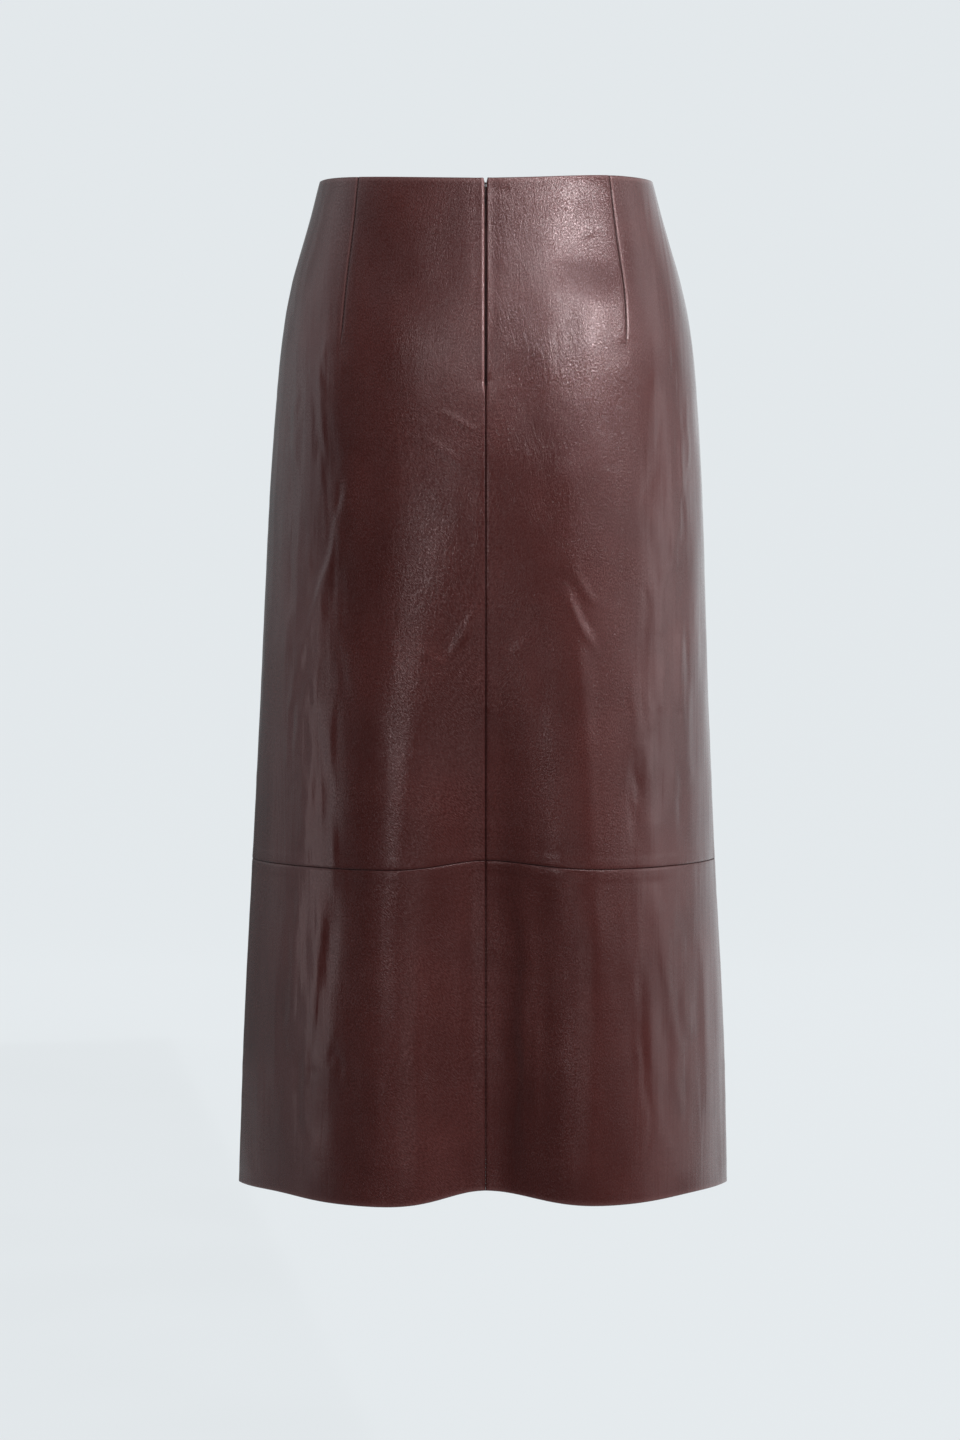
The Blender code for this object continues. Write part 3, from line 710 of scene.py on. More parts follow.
def swellings_on(girth, height, side, back):
    """Sum of the broad swellings: bell curves across the girth and up and down the height."""
    total = np.zeros_like(girth)
    for values in BACK_SWELLINGS if back else FRONT_SWELLINGS:
        row = dict(zip(SWELLING_COLUMNS, values))
        place = girth_to(row["x"], row["z"], back) * np.sign(row["x"])
        across = bump(side * girth - place, row["across"])
        above = height - row["z"]
        total += row["depth"] * across * bump(above, np.where(above > 0, row["up"], row["down"]))
    return total


def crease_path(row, back):
    """A crease row's girths and heights, lowest first, bowed by a parabola."""
    t = np.linspace(1, 0, CREASE_STATIONS)
    x = row["x_top"] + (row["x_foot"] - row["x_top"]) * t + row["bow"] * 4 * t * (1 - t)
    z = row["z_top"] + (row["z_foot"] - row["z_top"]) * t
    return np.array([girth_to(at, level, back) for at, level in zip(x, z)]), z


def creases_on(girth, height, side, back):
    """Sum of the creases of one half of the back or the front."""
    total = np.zeros_like(girth)
    for seed, values in enumerate(BACK_CREASES if back else FRONT_CREASES):
        row = dict(zip(CREASE_COLUMNS, values))
        here = side == np.sign(row["x_top"])
        if here.any():
            path = crease_path(row, back)
            total += here * crease(girth, height, path, row["width"], row["depth"], seed)
    return total


def fine_creases_on(girth, height, side, back, which):
    """Sum of the seeded upright creases of the side zones, in ridges and troughs."""
    total = np.zeros_like(girth)
    foot_limit, top_limit = FINE_CREASE_SPAN[which]
    for half in (-1, 1):
        draw = np.random.default_rng(FINE_CREASE_SEED + 2 * back + half + 10 * (which == "lower"))
        here = side == half
        for seed in range(FINE_CREASES[which]):
            place = draw.uniform(*FINE_CREASE_REACH)
            length = draw.uniform(*FINE_CREASE_LENGTH)
            width = draw.uniform(*FINE_CREASE_WIDTH)
            depth = draw.uniform(*FINE_CREASE_DEPTH) * draw.choice((-1.0, 1.0))
            foot = draw.uniform(foot_limit, top_limit - length)
            sway = draw.uniform(-FINE_CREASE_SWAY, FINE_CREASE_SWAY, FINE_CREASE_POINTS)
            if here.any():
                heights = np.linspace(foot, foot + length, FINE_CREASE_POINTS)
                path = (place + sway, heights)
                total += here * crease(girth, height, path, width, depth, seed)
    return total


def slack_on(girth, height, seed):
    """Low noise in two sizes: broad slack, and fine upright wrinkles in patches."""

    def noise(size, number):
        return lattice_noise(girth / size["width"], height / size["length"], seed + number)

    patchy = smooth_step(noise(WRINKLE_PATCH, 2), *WRINKLE_PATCH["range"])
    wrinkles = SEAT_WRINKLE["depth"] * noise(SEAT_WRINKLE, 1) * patchy
    return SLACK["depth"] * noise(SLACK, 0) + wrinkles


# ---------------------------------------------------------------------------- seams and darts


def rounded_edge(distance, radius):
    """Drop of a quarter circle of that radius, from the edge inwards."""
    into = np.clip(radius - distance, 0, radius)
    return radius - np.sqrt(radius**2 - into**2)


def seam_profile(distance, along, groove, width, seed):
    """Relief across a pressed seam, by the distance from it.

    A groove falls off as the exponential of distance over width, the turned allowance beneath
    lifts a band beside it, and small puckers along the seam fade out over a centimetre.
    """
    sunk = -groove * np.exp(-distance / width)
    band = smooth_step(distance, *ALLOWANCE_START)
    band = band * (1 - smooth_step(distance, *ALLOWANCE_STOP))
    pucker = lattice_noise(along / PUCKER_LENGTH, 0 * along + 0.5, seed)
    pucker = pucker * np.exp(-distance / PUCKER_REACH)
    return sunk + ALLOWANCE_RISE * band + SEAM_PUCKER * pucker


def dart_relief(offset, above_tip):
    """Relief across a dart: a stitched groove, and the fold's edge raised towards the centre.

    offset is the signed girth from the dart, positive towards the side seam, and above_tip is 0
    at the tip and 1 at the waist.
    """
    fade = smooth_step(above_tip, 0, DART_FADE)
    groove = -DART_GROOVE * np.exp(-np.abs(offset) / DART_GROOVE_WIDTH)
    inward = np.clip(-offset, 0, None)
    fold = smooth_step(inward, 0, DART_FOLD_START) * np.exp(-inward / DART_FOLD_WIDTH)
    lip = DART_LIP_SHARE * bump(offset - DART_LIP_PLACE, DART_LIP_WIDTH)
    fold = DART_FOLD_RISE * (fold + lip) * np.where(offset < 0, 1.0, DART_FOLD_OUTER_SHARE)
    return fade * (groove + fold) * (above_tip > 0)


def dimple(offset, below_tip):
    """Hollow at a dart's tip, with a lift half as strong and 1.6 times as wide just below it."""
    hollow = bump(np.hypot(offset, below_tip), DIMPLE_SIZE)
    lift = bump(np.hypot(offset, below_tip - 2 * DIMPLE_SIZE), 1.6 * DIMPLE_SIZE)
    return DIMPLE_DEPTH * (0.5 * lift - hollow)


def with_dart(across, height, dart):
    """Columns bent so that one of them follows the dart from its tip to the waist."""
    tip = dart["tip_place"]
    place = np.abs(across)
    above_tip = np.clip(1 - height / dart["tip_height"], 0, 1)
    stretch = np.where(place < tip, place / tip, (1 - place) / (1 - tip))
    shift = (dart["waist_place"] - tip) * above_tip ** dart["curve"] * stretch
    return np.where(across < 0, -1.0, 1.0) * (place + shift)


# ---------------------------------------------------------------------------- panels


class Panel:
    """A leather panel's grid: rows from its top edge to its foot, columns from -1 to 1 across.

    It holds each point's across, height, girth from the centre line, side, plain surface and
    normal, and its distance to the top edge, to the foot and to the one of them that is turned in.
    """

    def __init__(self, name, columns, rows, top, foot, back, upper):
        self.name, self.back, self.upper = name, back, upper
        across, share = np.meshgrid(columns, rows)
        height = top(across, back) * (1 - share) + foot(across, back) * share
        self.side = np.where(across < 0, -1.0, 1.0)
        if upper:
            bent = np.zeros_like(across)
            for side, dart in DARTS[back].items():
                bent = np.where(self.side == side, with_dart(across, height, dart), bent)
            across = bent
        self.across, self.height = across, height
        self.plain = on_form(across, height, back)
        self.normal = form_normal(across, height, back)
        self.girth = self.girth_from_centre()
        self.to_top = top(across, back) - height
        self.to_foot = height - foot(across, back)
        self.to_fold = self.to_top if upper else self.to_foot
        self.columns = columns

    def girth_from_centre(self):
        """Length along each row from the column nearest the centre line."""
        steps = np.linalg.norm(np.diff(self.plain, axis=1), axis=2)
        along = np.concatenate([np.zeros((len(steps), 1)), np.cumsum(steps, axis=1)], axis=1)
        centre = np.argmin(np.abs(self.across[0]))
        return np.abs(along - along[:, centre : centre + 1])

    def to_side(self):
        """Distance along the row to the side seam, on the point's own half."""
        total = np.where(self.side < 0, self.girth[:, :1], self.girth[:, -1:])
        return np.clip(total - self.girth, 0, None)

    def dart_girth(self, side):
        """Girth of the dart at each row: that of the column through its tip."""
        tip = DARTS[self.back][side]["tip_place"] * side
        return self.girth[:, np.argmin(np.abs(self.columns - tip))][:, None]


def panel_relief(panel, seed):
    """How far each point stands out, with and without its seams, and its pale and dark lines:
    painted highlights, rubbed wear at the hem and painted seam shade.
    """
    girth, height, side, back = panel.girth, panel.height, panel.side, panel.back
    which = "upper" if panel.upper else "lower"
    relief = creases_on(girth, height, side, back) + swellings_on(girth, height, side, back)
    relief = relief + fine_creases_on(girth, height, side, back, which)
    relief = relief + slack_on(side * girth + SLACK_SHIFT, height, seed)
    to_side = panel.to_side()
    to_waist = panel.to_top if panel.upper else np.full_like(girth, FAR)
    to_hem = np.full_like(girth, FAR) if panel.upper else panel.to_foot
    to_level = panel.to_foot if panel.upper else panel.to_top
    relief = relief * smooth_step(to_side, *SIDE_CALM) * smooth_step(to_waist, *WAIST_CALM)
    relief = relief * smooth_step(to_hem, *HEM_CALM)
    body = relief.copy()

    relief = relief + seam_profile(to_side, height, *SEAM_GROOVES["side"])
    relief = relief + seam_profile(to_level, side * girth, *SEAM_GROOVES["level"])
    # Pale lines: painted highlight below the waist edge, rubbed wear at the hem. Dark lines:
    # painted shade in the side and level seams and along the top of the waist edge.
    worn = line_beside(to_waist, HIGHLIGHT_WAIST) + line_beside(to_hem, WORN_HEM)
    shaded = line_beside(to_side, SHADED_SIDE) + line_beside(to_level, SHADED_LEVEL)
    shaded = shaded + line_beside(to_waist, SHADED_WAIST)
    if back:
        beside_zip = zip_share(height)
        left_of_zip = beside_zip * (side < 0)
        seam = seam_profile(girth, height, *SEAM_GROOVES["centre"])
        folded = line_beside(girth, ZIP_FOLD_RIDGE) + line_beside(girth, ZIP_FOLD_HOLLOW)
        relief = relief + seam * (1 - beside_zip) + folded * beside_zip
        relief = relief + zip_pucker(girth, height, side)
        # Painted highlight on the folded edge left of the zip, painted shade in the centre seam and
        # right of the zip
        worn = worn + line_beside(girth, HIGHLIGHT_ZIP_EDGE) * left_of_zip
        shaded = shaded + line_beside(girth, SHADED_CENTRE) * (1 - left_of_zip)
    if panel.upper:
        for half in (-1, 1):
            if not (side == half).any():
                continue
            dart = DARTS[back][half]
            above_tip = np.clip(1 - height / dart["tip_height"], 0, 1)
            offset = girth - panel.dart_girth(half)
            here = side == half
            relief = relief + here * dart_relief(offset, above_tip)
            relief = relief + here * dimple(offset, dart["tip_height"] - height)
            stitched = here * smooth_step(above_tip, 0, DART_FADE)
            # Painted highlight beside the dart's fold, painted shade in its groove
            worn = worn + stitched * line_beside(offset, HIGHLIGHT_DART)
            shaded = shaded + stitched * line_beside(offset, SHADED_DART)
    return relief, body, np.clip(worn, 0, 1), np.clip(shaded, 0, 1)


def zip_pucker(girth, height, side):
    """Gathers of the turned edge beside the top of the zip, and a dent at the zip's end.

    The gathers are a sine up the height that fades away from one height and from the zip. The
    dent is a bell curve of the distance from a point just above the end.
    """
    near_top = bump(height - GATHER_HEIGHT, GATHER_SPREAD) * np.exp(-girth / GATHER_REACH)
    gather = np.sin(height / GATHER_WAVE + GATHER_SHIFT * (side > 0)) * GATHER_DEPTH
    from_end = np.hypot(girth, height - ZIP_END - ZIP_END_DENT["above"])
    return near_top * gather - bump(from_end, ZIP_END_DENT["size"]) * ZIP_END_DENT["depth"]


def wall_thickness(panel, wall, turned):
    """Thickness of the leather: doubled where the waist edge and the hem are turned in."""
    turn = WAIST_TURN if panel.upper else HEM_TURN
    single = smooth_step(panel.to_fold, turn, turn + TURN_STEP)
    return wall + (turned - wall) * (1 - single)


def build_panel(panel, leather, materials, seed):
    """Closed wall of leather: relief outside, the same folds inside, round edges between."""
    relief, body, worn, shaded = panel_relief(panel, seed)
    relief = relief * leather.crease_depth
    body = body * leather.crease_depth
    thick = wall_thickness(panel, leather.wall, leather.turned_wall)
    to_side = panel.to_side()
    drop = rounded_edge(to_side, EDGE_RADIUS)
    top_radius = FOLD_RADIUS if panel.upper else EDGE_RADIUS
    foot_radius = EDGE_RADIUS if panel.upper else FOLD_RADIUS
    drop = np.maximum(drop, rounded_edge(panel.to_top, top_radius))
    drop = np.maximum(drop, rounded_edge(panel.to_foot, foot_radius))
    if panel.back:
        beside_zip = zip_share(panel.height)
        radius = EDGE_RADIUS + (by_side(ZIP_ROLL_RADIUS, panel.side) - EDGE_RADIUS) * beside_zip
        drop = np.maximum(drop, rounded_edge(panel.girth, radius))
        lip = 1 - smooth_step(panel.girth, ZIP_LIP_WIDTH * ZIP_LIP_START, ZIP_LIP_WIDTH)
        thick = thick + np.clip(ZIP_LIP_DEPTH - thick, 0, None) * lip * beside_zip * panel.upper
    inner_lift = rounded_edge(panel.to_fold, FOLD_RADIUS)
    outer = panel.plain + panel.normal * (relief - drop)[..., None]
    inner = panel.plain + panel.normal * (body - thick + inner_lift)[..., None]
    hold_at_seams(panel, outer, inner)
    turned = thick > (leather.wall + leather.turned_wall) / 2
    places = np.stack([panel.side * panel.girth, panel.height], axis=-1)
    piece = layered_object(panel.name + "_leather", outer, inner, places, materials, turned)
    # The wear attribute holds the painted highlight lines and the rubbed wear at the hem, and
    # seam_shade holds the painted seam shade
    for name, values in (("wear", worn), ("seam_shade", shaded)):
        set_attribute(piece, name, np.concatenate([values.reshape(-1), 0.5 * values.reshape(-1)]))
    width = np.ptp(panel.side * panel.girth, axis=1).max()
    length = (panel.to_top + panel.to_foot).max()
    return piece, (width, length), grid_area(panel.plain)


def hold_at_seams(panel, outer, inner):
    """Keep the borders on their seam planes, so that neighbouring panels meet without a gap."""
    facing = -1 if panel.back else 1
    for edge in (0, -1):
        place = abs(panel.columns[edge])
        if place == 1:
            for layer in (outer, inner):
                layer[:, edge, 1] = facing * SEAM_HALF_GAP
        elif place < 2 * NEAR_CENTRE:
            inner[:, edge, 0] = outer[:, edge, 0]


def grid_area(points):
    """Area of a grid: half the cross product of each cell's diagonals, added up."""
    across = points[1:, 1:] - points[:-1, :-1]
    back_across = points[1:, :-1] - points[:-1, 1:]
    return float(np.linalg.norm(np.cross(across, back_across), axis=-1).sum() / 2)


def grid_quads(rows, columns):
    """Corner numbers of a grid's cells, in one turning direction."""
    index = np.arange(rows * columns).reshape(rows, columns)
    corners = [index[:-1, :-1], index[:-1, 1:], index[1:, 1:], index[1:, :-1]]
    return np.stack(corners, axis=-1).reshape(-1, 4)


def layered_object(name, outer, inner, places, materials, turned=None):
    """Mesh of two grids and the rim between their borders, facing outwards.

    places is the grid of each point's place in the UV map. Where turned holds, the inner side
    is turned leather and wears the first material, elsewhere the second.
    """
    rows, columns = outer.shape[:2]
    size = rows * columns
    index = np.arange(size).reshape(rows, columns)
    border = np.concatenate([index[0, :-1], index[:-1, -1], index[-1, :0:-1], index[:0:-1, 0]])
    after = np.roll(border, -1)
    skin = grid_quads(rows, columns)
    rim = np.stack([after, border, border + size, after + size], axis=-1)
    faces = np.concatenate([skin, skin[:, ::-1] + size, rim])
    points = np.concatenate([outer.reshape(-1, 3), inner.reshape(-1, 3)])
    slot = None
    if turned is not None:
        inside = np.where(turned[:-1, :-1].reshape(-1), 0, 1)
        slot = np.concatenate([np.zeros(len(skin)), inside, np.zeros(len(rim))])
    piece = mesh_object(name, points, facing_out(points, faces), materials, slot)
    flat = places.reshape(-1, 2)
    set_uv(piece, np.concatenate([flat, flat]))
    return piece


def volume(points, faces):
    """Signed volume inside quads: a sixth of the triple products of their triangles."""
    a, b, c, d = (points[faces[:, i]] for i in range(4))
    first = np.einsum("ij,ij->i", a, np.cross(b, c)).sum()
    second = np.einsum("ij,ij->i", a, np.cross(c, d)).sum()
    return float(first + second) / 6


def facing_out(points, faces):
    """The quads of a closed form, turned round if they enclose less than nothing."""
    return faces[:, ::-1] if volume(points, faces) < 0 else faces


def mesh_object(name, points, faces, materials, slot=None):
    """Smooth object made of quads given as arrays, with a material number for each face."""
    mesh = bpy.data.meshes.new(name)
    mesh.vertices.add(len(points))
    mesh.vertices.foreach_set("co", np.asarray(points, np.float32).reshape(-1))
    mesh.loops.add(faces.size)
    mesh.loops.foreach_set("vertex_index", faces.astype(np.int32).reshape(-1))
    mesh.polygons.add(len(faces))
    mesh.polygons.foreach_set("loop_start", np.arange(0, faces.size, 4, dtype=np.int32))
    if slot is not None:
        mesh.polygons.foreach_set("material_index", slot.astype(np.int32))
    for material in materials:
        mesh.materials.append(material)
    mesh.update(calc_edges=True)
    mesh.validate()
    mesh.shade_smooth()
    piece = bpy.data.objects.new(name, mesh)
    bpy.context.scene.collection.objects.link(piece)
    return piece


def set_uv(piece, places):
    """UV map in metres: one place for each vertex, copied to its corners."""
    mesh = piece.data
    corner = np.zeros(len(mesh.loops), np.int32)
    mesh.loops.foreach_get("vertex_index", corner)
    layer = mesh.uv_layers.new(name="girth_and_height")
    layer.data.foreach_set("uv", np.asarray(places, np.float32)[corner].reshape(-1))


def set_attribute(piece, name, values):
    """Number for each vertex, which the materials read by its name."""
    attribute = piece.data.attributes.new(name, "FLOAT", "POINT")
    attribute.data.foreach_set("value", np.asarray(values, np.float32))


# ---------------------------------------------------------------------------- materials


class Graph:
    """Short way to add and join a material's nodes."""

    def __init__(self, name):
        self.material = bpy.data.materials.new(name)
        self.material.use_nodes = True
        self.tree = self.material.node_tree
        self.shader = self.tree.nodes["Principled BSDF"]

    def add(self, kind, settings=(), **inputs):
        """New node of that kind; an input is a value, or another node's output to link."""
        node = self.tree.nodes.new("ShaderNode" + kind)
        for key, value in dict(settings).items():
            setattr(node, key, value)
        for key, value in inputs.items():
            self.put(node.inputs[key.replace("_", " ")], value)
        return node

    def put(self, socket, value):
        """Give a socket a value, or link another node's output to it."""
        if isinstance(value, bpy.types.NodeSocket):
            self.tree.links.new(value, socket)
        else:
            socket.default_value = value

    def math(self, operation, first, second=0.0, third=0.0):
        """Result of a Math node; each number is a value or an output."""
        node = self.tree.nodes.new("ShaderNodeMath")
        node.operation = operation
        for socket, value in zip(node.inputs, (first, second, third)):
            self.put(socket, value)
        return node.outputs[0]

    def times(self, *factors):
        """Product of two or more numbers or outputs."""
        product = factors[0]
        for factor in factors[1:]:
            product = self.math("MULTIPLY", product, factor)
        return product

    def ranged(self, value, low, high, new_low, new_high, smooth=True):
        """Value carried from low and high to the new ones, with soft or straight ends."""
        node = self.tree.nodes.new("ShaderNodeMapRange")
        node.interpolation_type = "SMOOTHSTEP" if smooth else "LINEAR"
        for socket, given in zip(node.inputs, (value, low, high, new_low, new_high)):
            self.put(socket, given)
        return node.outputs[0]

    def mixed(self, share, first, second):
        """Mix of two colours; a colour is a tuple of three, or a socket."""
        node = self.tree.nodes.new("ShaderNodeMix")
        node.data_type = "RGBA"
        self.put(node.inputs[0], share)
        for socket, value in zip((node.inputs[6], node.inputs[7]), (first, second)):
            self.put(socket, (*value, 1.0) if isinstance(value, tuple) else value)
        return node.outputs[2]

    def noise(self, vector, scale, detail=2.0, roughness=0.5, distortion=0.0):
        """Height of a noise whose cells are 1 over scale wide."""
        node = self.add("TexNoise", Vector=vector, Scale=scale, Detail=detail)
        self.put(node.inputs["Roughness"], roughness)
        self.put(node.inputs["Distortion"], distortion)
        return node.outputs["Fac"]

    def ridges(self, vector, wander, sharp):
        """Thin crests: 1 less the distance of a noise from its middle value, sharpened."""
        noise = self.noise(vector, 1.0, 3.0, 0.55, wander)
        away = self.math("ABSOLUTE", self.math("SUBTRACT", noise, 0.5))
        return self.ranged(away, 0.0, sharp, 1.0, 0.0)

    def stretched(self, vector, width, length, turn=0.0):
        """Place counted in widths and lengths, along axes turned by an angle."""
        node = self.add("Mapping", {"vector_type": "TEXTURE"}, Vector=vector)
        node.inputs["Rotation"].default_value = (0.0, 0.0, turn)
        node.inputs["Scale"].default_value = (width, length, 1.0)
        return node.outputs["Vector"]

    def shaken(self, vector, scale, reach):
        """Place moved sideways and along by a noise, by up to about half the reach."""
        wobble = self.add("TexNoise", Vector=vector, Scale=scale, Detail=1.0)
        node = self.add("VectorMath", {"operation": "MULTIPLY_ADD"})
        self.put(node.inputs[0], wobble.outputs["Color"])
        node.inputs[1].default_value = (reach,) * 3
        self.put(node.inputs[2], vector)
        return node.outputs[0]

    def bumped(self, height, distance, normal=None):
        """Normal of a relief, laid over that of an earlier one."""
        node = self.add("Bump", Height=height, Distance=distance, Strength=1.0)
        if normal is not None:
            self.put(node.inputs["Normal"], normal)
        return node.outputs["Normal"]

    def flat_place(self):
        """The surface's own place, in metres of girth and height."""
        return self.add("UVMap", {"uv_map": "girth_and_height"}).outputs["UV"]

    def solid_place(self):
        """The point's own place in the frame."""
        return self.add("TexCoord").outputs["Object"]

    def attribute(self, name):
        """Number that the mesh holds under that name."""
        return self.add("Attribute", {"attribute_name": name}).outputs["Fac"]

    def surface(self, **sockets):
        """Set or link the shader's own sockets."""
        for key, value in sockets.items():
            self.put(self.shader.inputs[key.replace("_", " ")], value)
        return self.material


def toned(colour, factor, lift=0.0):
    """Colour made deeper or lighter by a factor, with a little grey added, kept within 1."""
    return tuple(min(1.0, channel * factor + lift) for channel in colour)


def grain_cells(g, place, around, bent, size):
    """Noise of the grain: cells upright on the flanks, and slanting beside the centre."""
    upright = g.noise(g.stretched(bent, 0.50 * size, 0.9 * size, UPRIGHT_TURN), 1.0, 1.0)
    slanted = g.noise(g.stretched(bent, 0.50 * size, 1.5 * size, SLANT_TURN), 1.0, 1.0)
    slant = g.times(
        g.ranged(around, *SLANT_ZONE, 1.0, 0.0),
        g.ranged(place.outputs["Y"], *SLANT_RISE, 0.0, 1.0),
        g.ranged(place.outputs["X"], *SLANT_TO_RIGHT, 1.0, 0.3),
    )
    return g.math("MULTIPLY_ADD", g.math("SUBTRACT", slanted, upright), slant, upright)


def nappa(settings):
    """Grain side of the leather under a semi-gloss finish.

    Grain, pores and short pulls stand in patches and calm down on the flanks, where fine streaks
    run upright. Raised grain is glossier than the grain between, which is deeper in colour. The
    colour carries painted highlight lines and painted seam shade, and the gloss fades in the seams.
    """
    g = Graph("oxblood_nappa")
    size, depth = settings.grain_size, settings.grain_depth
    flat = g.flat_place()
    place = g.add("SeparateXYZ", Vector=flat)
    around = g.math("ABSOLUTE", place.outputs["X"])
    up = place.outputs["Y"]
    calm = g.ranged(around, *CALM_ZONE, 1.0, 0.25)
    patches = g.ranged(g.noise(flat, PATCH_SCALE), 0.36, 0.66, 0.55, 1.0)
    mirrored = g.add("CombineXYZ", X=around, Y=up).outputs["Vector"]
    bent = g.shaken(mirrored, WANDER_SCALE, WANDER_REACH)
    grain = grain_cells(g, place, around, bent, size)
    pores = g.ridges(g.stretched(bent, 0.6 * size, size, PORE_TURN), 0.5, 0.09)
    streaks = g.noise(g.stretched(flat, *STREAK_SIZE), 1.0, 1.6, 0.5, 0.5)
    streaks = g.times(streaks, g.ranged(around, *FLANK_ZONE, 0.0, 1.0))
    seat = (g.ranged(around, *SEAT_ZONE, 1.0, 0.0), g.ranged(up, *SEAT_RISE, 0.3, 1.0))
    pulls = g.ridges(g.stretched(bent, *PULL_SIZE, PULL_TURN), 0.8, 0.12)
    normal = g.bumped(streaks, settings.streak_depth)
    normal = g.bumped(g.times(pulls, *seat, patches), PULL_RELIEF * depth, normal)
    normal = g.bumped(g.times(grain, patches, calm), CELL_RELIEF * depth, normal)
    normal = g.bumped(g.times(pores, calm), PORE_RELIEF * depth, normal)

    shade = g.attribute("seam_shade")
    raised = g.math("SUBTRACT", g.ranged(grain, 0.38, 0.62, 0.0, 1.0), 0.5)
    raised = g.times(raised, patches, calm)
    colour = nappa_colour(g, tuple(settings.colour), pores, raised, shade)
    low, high = settings.roughness - 0.03, settings.roughness + 0.04
    rough = g.ranged(g.noise(g.solid_place(), 26.0, 3.0), 0.3, 0.7, low, high)
    rougher = g.math("MULTIPLY_ADD", pores, 0.08, g.math("MULTIPLY", shade, 0.4))
    rough = g.math("ADD", rough, rougher)
    raised_gloss = g.math("MULTIPLY_ADD", raised, RAISED_GLOSS, 1.0)
    gloss = g.times(g.ranged(shade, 0.0, 1.0, *SHINE, False), raised_gloss)
    coat = g.times(g.ranged(shade, 0.0, 1.0, settings.coat, 0.0, False), raised_gloss)
    g.surface(Base_Color=colour, Roughness=rough, Normal=normal, Coat_Normal=normal)
    g.surface(Specular_Tint=(*SHINE_TINT, 1.0), Specular_IOR_Level=gloss)
    return g.surface(Coat_Weight=coat, Coat_Roughness=COAT_ROUGHNESS)


def nappa_colour(g, base, pores, raised, shade):
    """Dye in soft clouds, deeper in pores and between raised grain; paler along painted highlight
    lines and where rubbed at the hem, and darker in painted seam shade.
    """
    deep = toned(base, 0.62)
    cloud = g.noise(g.solid_place(), 9.0, 4.0, 0.6)
    colour = g.mixed(g.ranged(cloud, 0.35, 0.65, 0.0, 1.0), deep, toned(base, 1.35, 0.006))
    colour = g.mixed(0.5, colour, base)
    colour = g.mixed(g.math("MULTIPLY", pores, 0.45), colour, deep)
    colour = g.mixed(g.ranged(raised, -0.4, 0.3, 0.7, 0.0), colour, deep)
    # Paler along the wear attribute: painted highlights below the waist edge, on the zip's folded
    # edge and beside the darts, and rubbed wear at the hem
    rubbed = g.math("MULTIPLY", g.attribute("wear"), WEAR_AND_HIGHLIGHT_SHARE)
    colour = g.mixed(rubbed, colour, toned(base, 2.2, 0.10))
    # Darker along the seam_shade attribute: painted shade in the seams, the darts' grooves and
    # along the waist edge
    return g.mixed(g.math("MULTIPLY", shade, SHADE_SHARE), colour, toned(base, 0.2))


def flesh_side(settings):
    """Unfinished inner side of the leather: short fibres, matt, a shade lighter and dustier."""
    g = Graph("leather_flesh_side")
    flat = g.flat_place()
    nap = g.noise(g.stretched(flat, 0.00067, 0.00125), 1.0, 4.0, 0.65, 0.8)
    cloud = g.noise(flat, 30.0, 3.0)
    base = toned(settings.colour, 1.5, 0.025)
    deep = toned(base, 0.7)
    mottle = g.math("MULTIPLY_ADD", nap, 0.6, g.math("MULTIPLY", cloud, 0.4))
    colour = g.mixed(g.ranged(mottle, 0.3, 0.7, 0.0, 1.0), deep, base)
    g.surface(Base_Color=colour, Normal=g.bumped(nap, 0.0004), Roughness=0.92)
    return g.surface(Sheen_Weight=0.25, Specular_IOR_Level=0.2)


def thread(colour):
    """Twisted thread: a fine diagonal wave over a soft sheen."""
    g = Graph("sewing_thread")
    twist = g.add("TexWave", {"bands_direction": "DIAGONAL"}, Vector=g.solid_place(), Scale=1400.0)
    fibre = g.noise(g.solid_place(), 5200.0, 2.0)
    both = g.math("MULTIPLY_ADD", twist.outputs["Fac"], 0.7, fibre)
    shade = g.mixed(g.ranged(both, 0.3, 1.2, 0.0, 1.0), toned(colour, 0.6), tuple(colour))
    g.surface(Base_Color=shade, Normal=g.bumped(both, 0.00008))
    return g.surface(Roughness=0.55, Sheen_Weight=0.15)


def woven_tape(colour):
    """Herringbone zip tape: two slanting waves that change hand every few threads."""
    g = Graph("zip_tape_weave")
    flat = g.flat_place()
    split = g.add("SeparateXYZ", Vector=flat)
    column = g.math("PINGPONG", split.outputs["X"], 0.0022)
    slant = g.math("MULTIPLY_ADD", column, 2600.0, g.math("MULTIPLY", split.outputs["Y"], 5200.0))
    ribs = g.math("SINE", slant)
    fuzz = g.noise(flat, 6000.0, 2.0)
    both = g.math("MULTIPLY_ADD", ribs, 0.35, fuzz)
    light = g.ranged(both, 0.1, 0.9, 0.0, 1.0)
    shade = g.mixed(light, toned(colour, 0.5), toned(colour, 1.5))
    g.surface(Base_Color=shade, Normal=g.bumped(both, 0.00012))
    return g.surface(Roughness=0.82, Sheen_Weight=0.2)


def coil_nylon(colour):
    """Moulded nylon of the coil: smooth, with faint drawn lines along the wire."""
    g = Graph("zip_coil_nylon")
    line = g.noise(g.solid_place(), 3000.0, 2.0)
    shade = g.mixed(line, toned(colour, 0.7), toned(colour, 1.3))
    return g.surface(Base_Color=shade, Normal=g.bumped(line, 0.00003), Roughness=0.34)


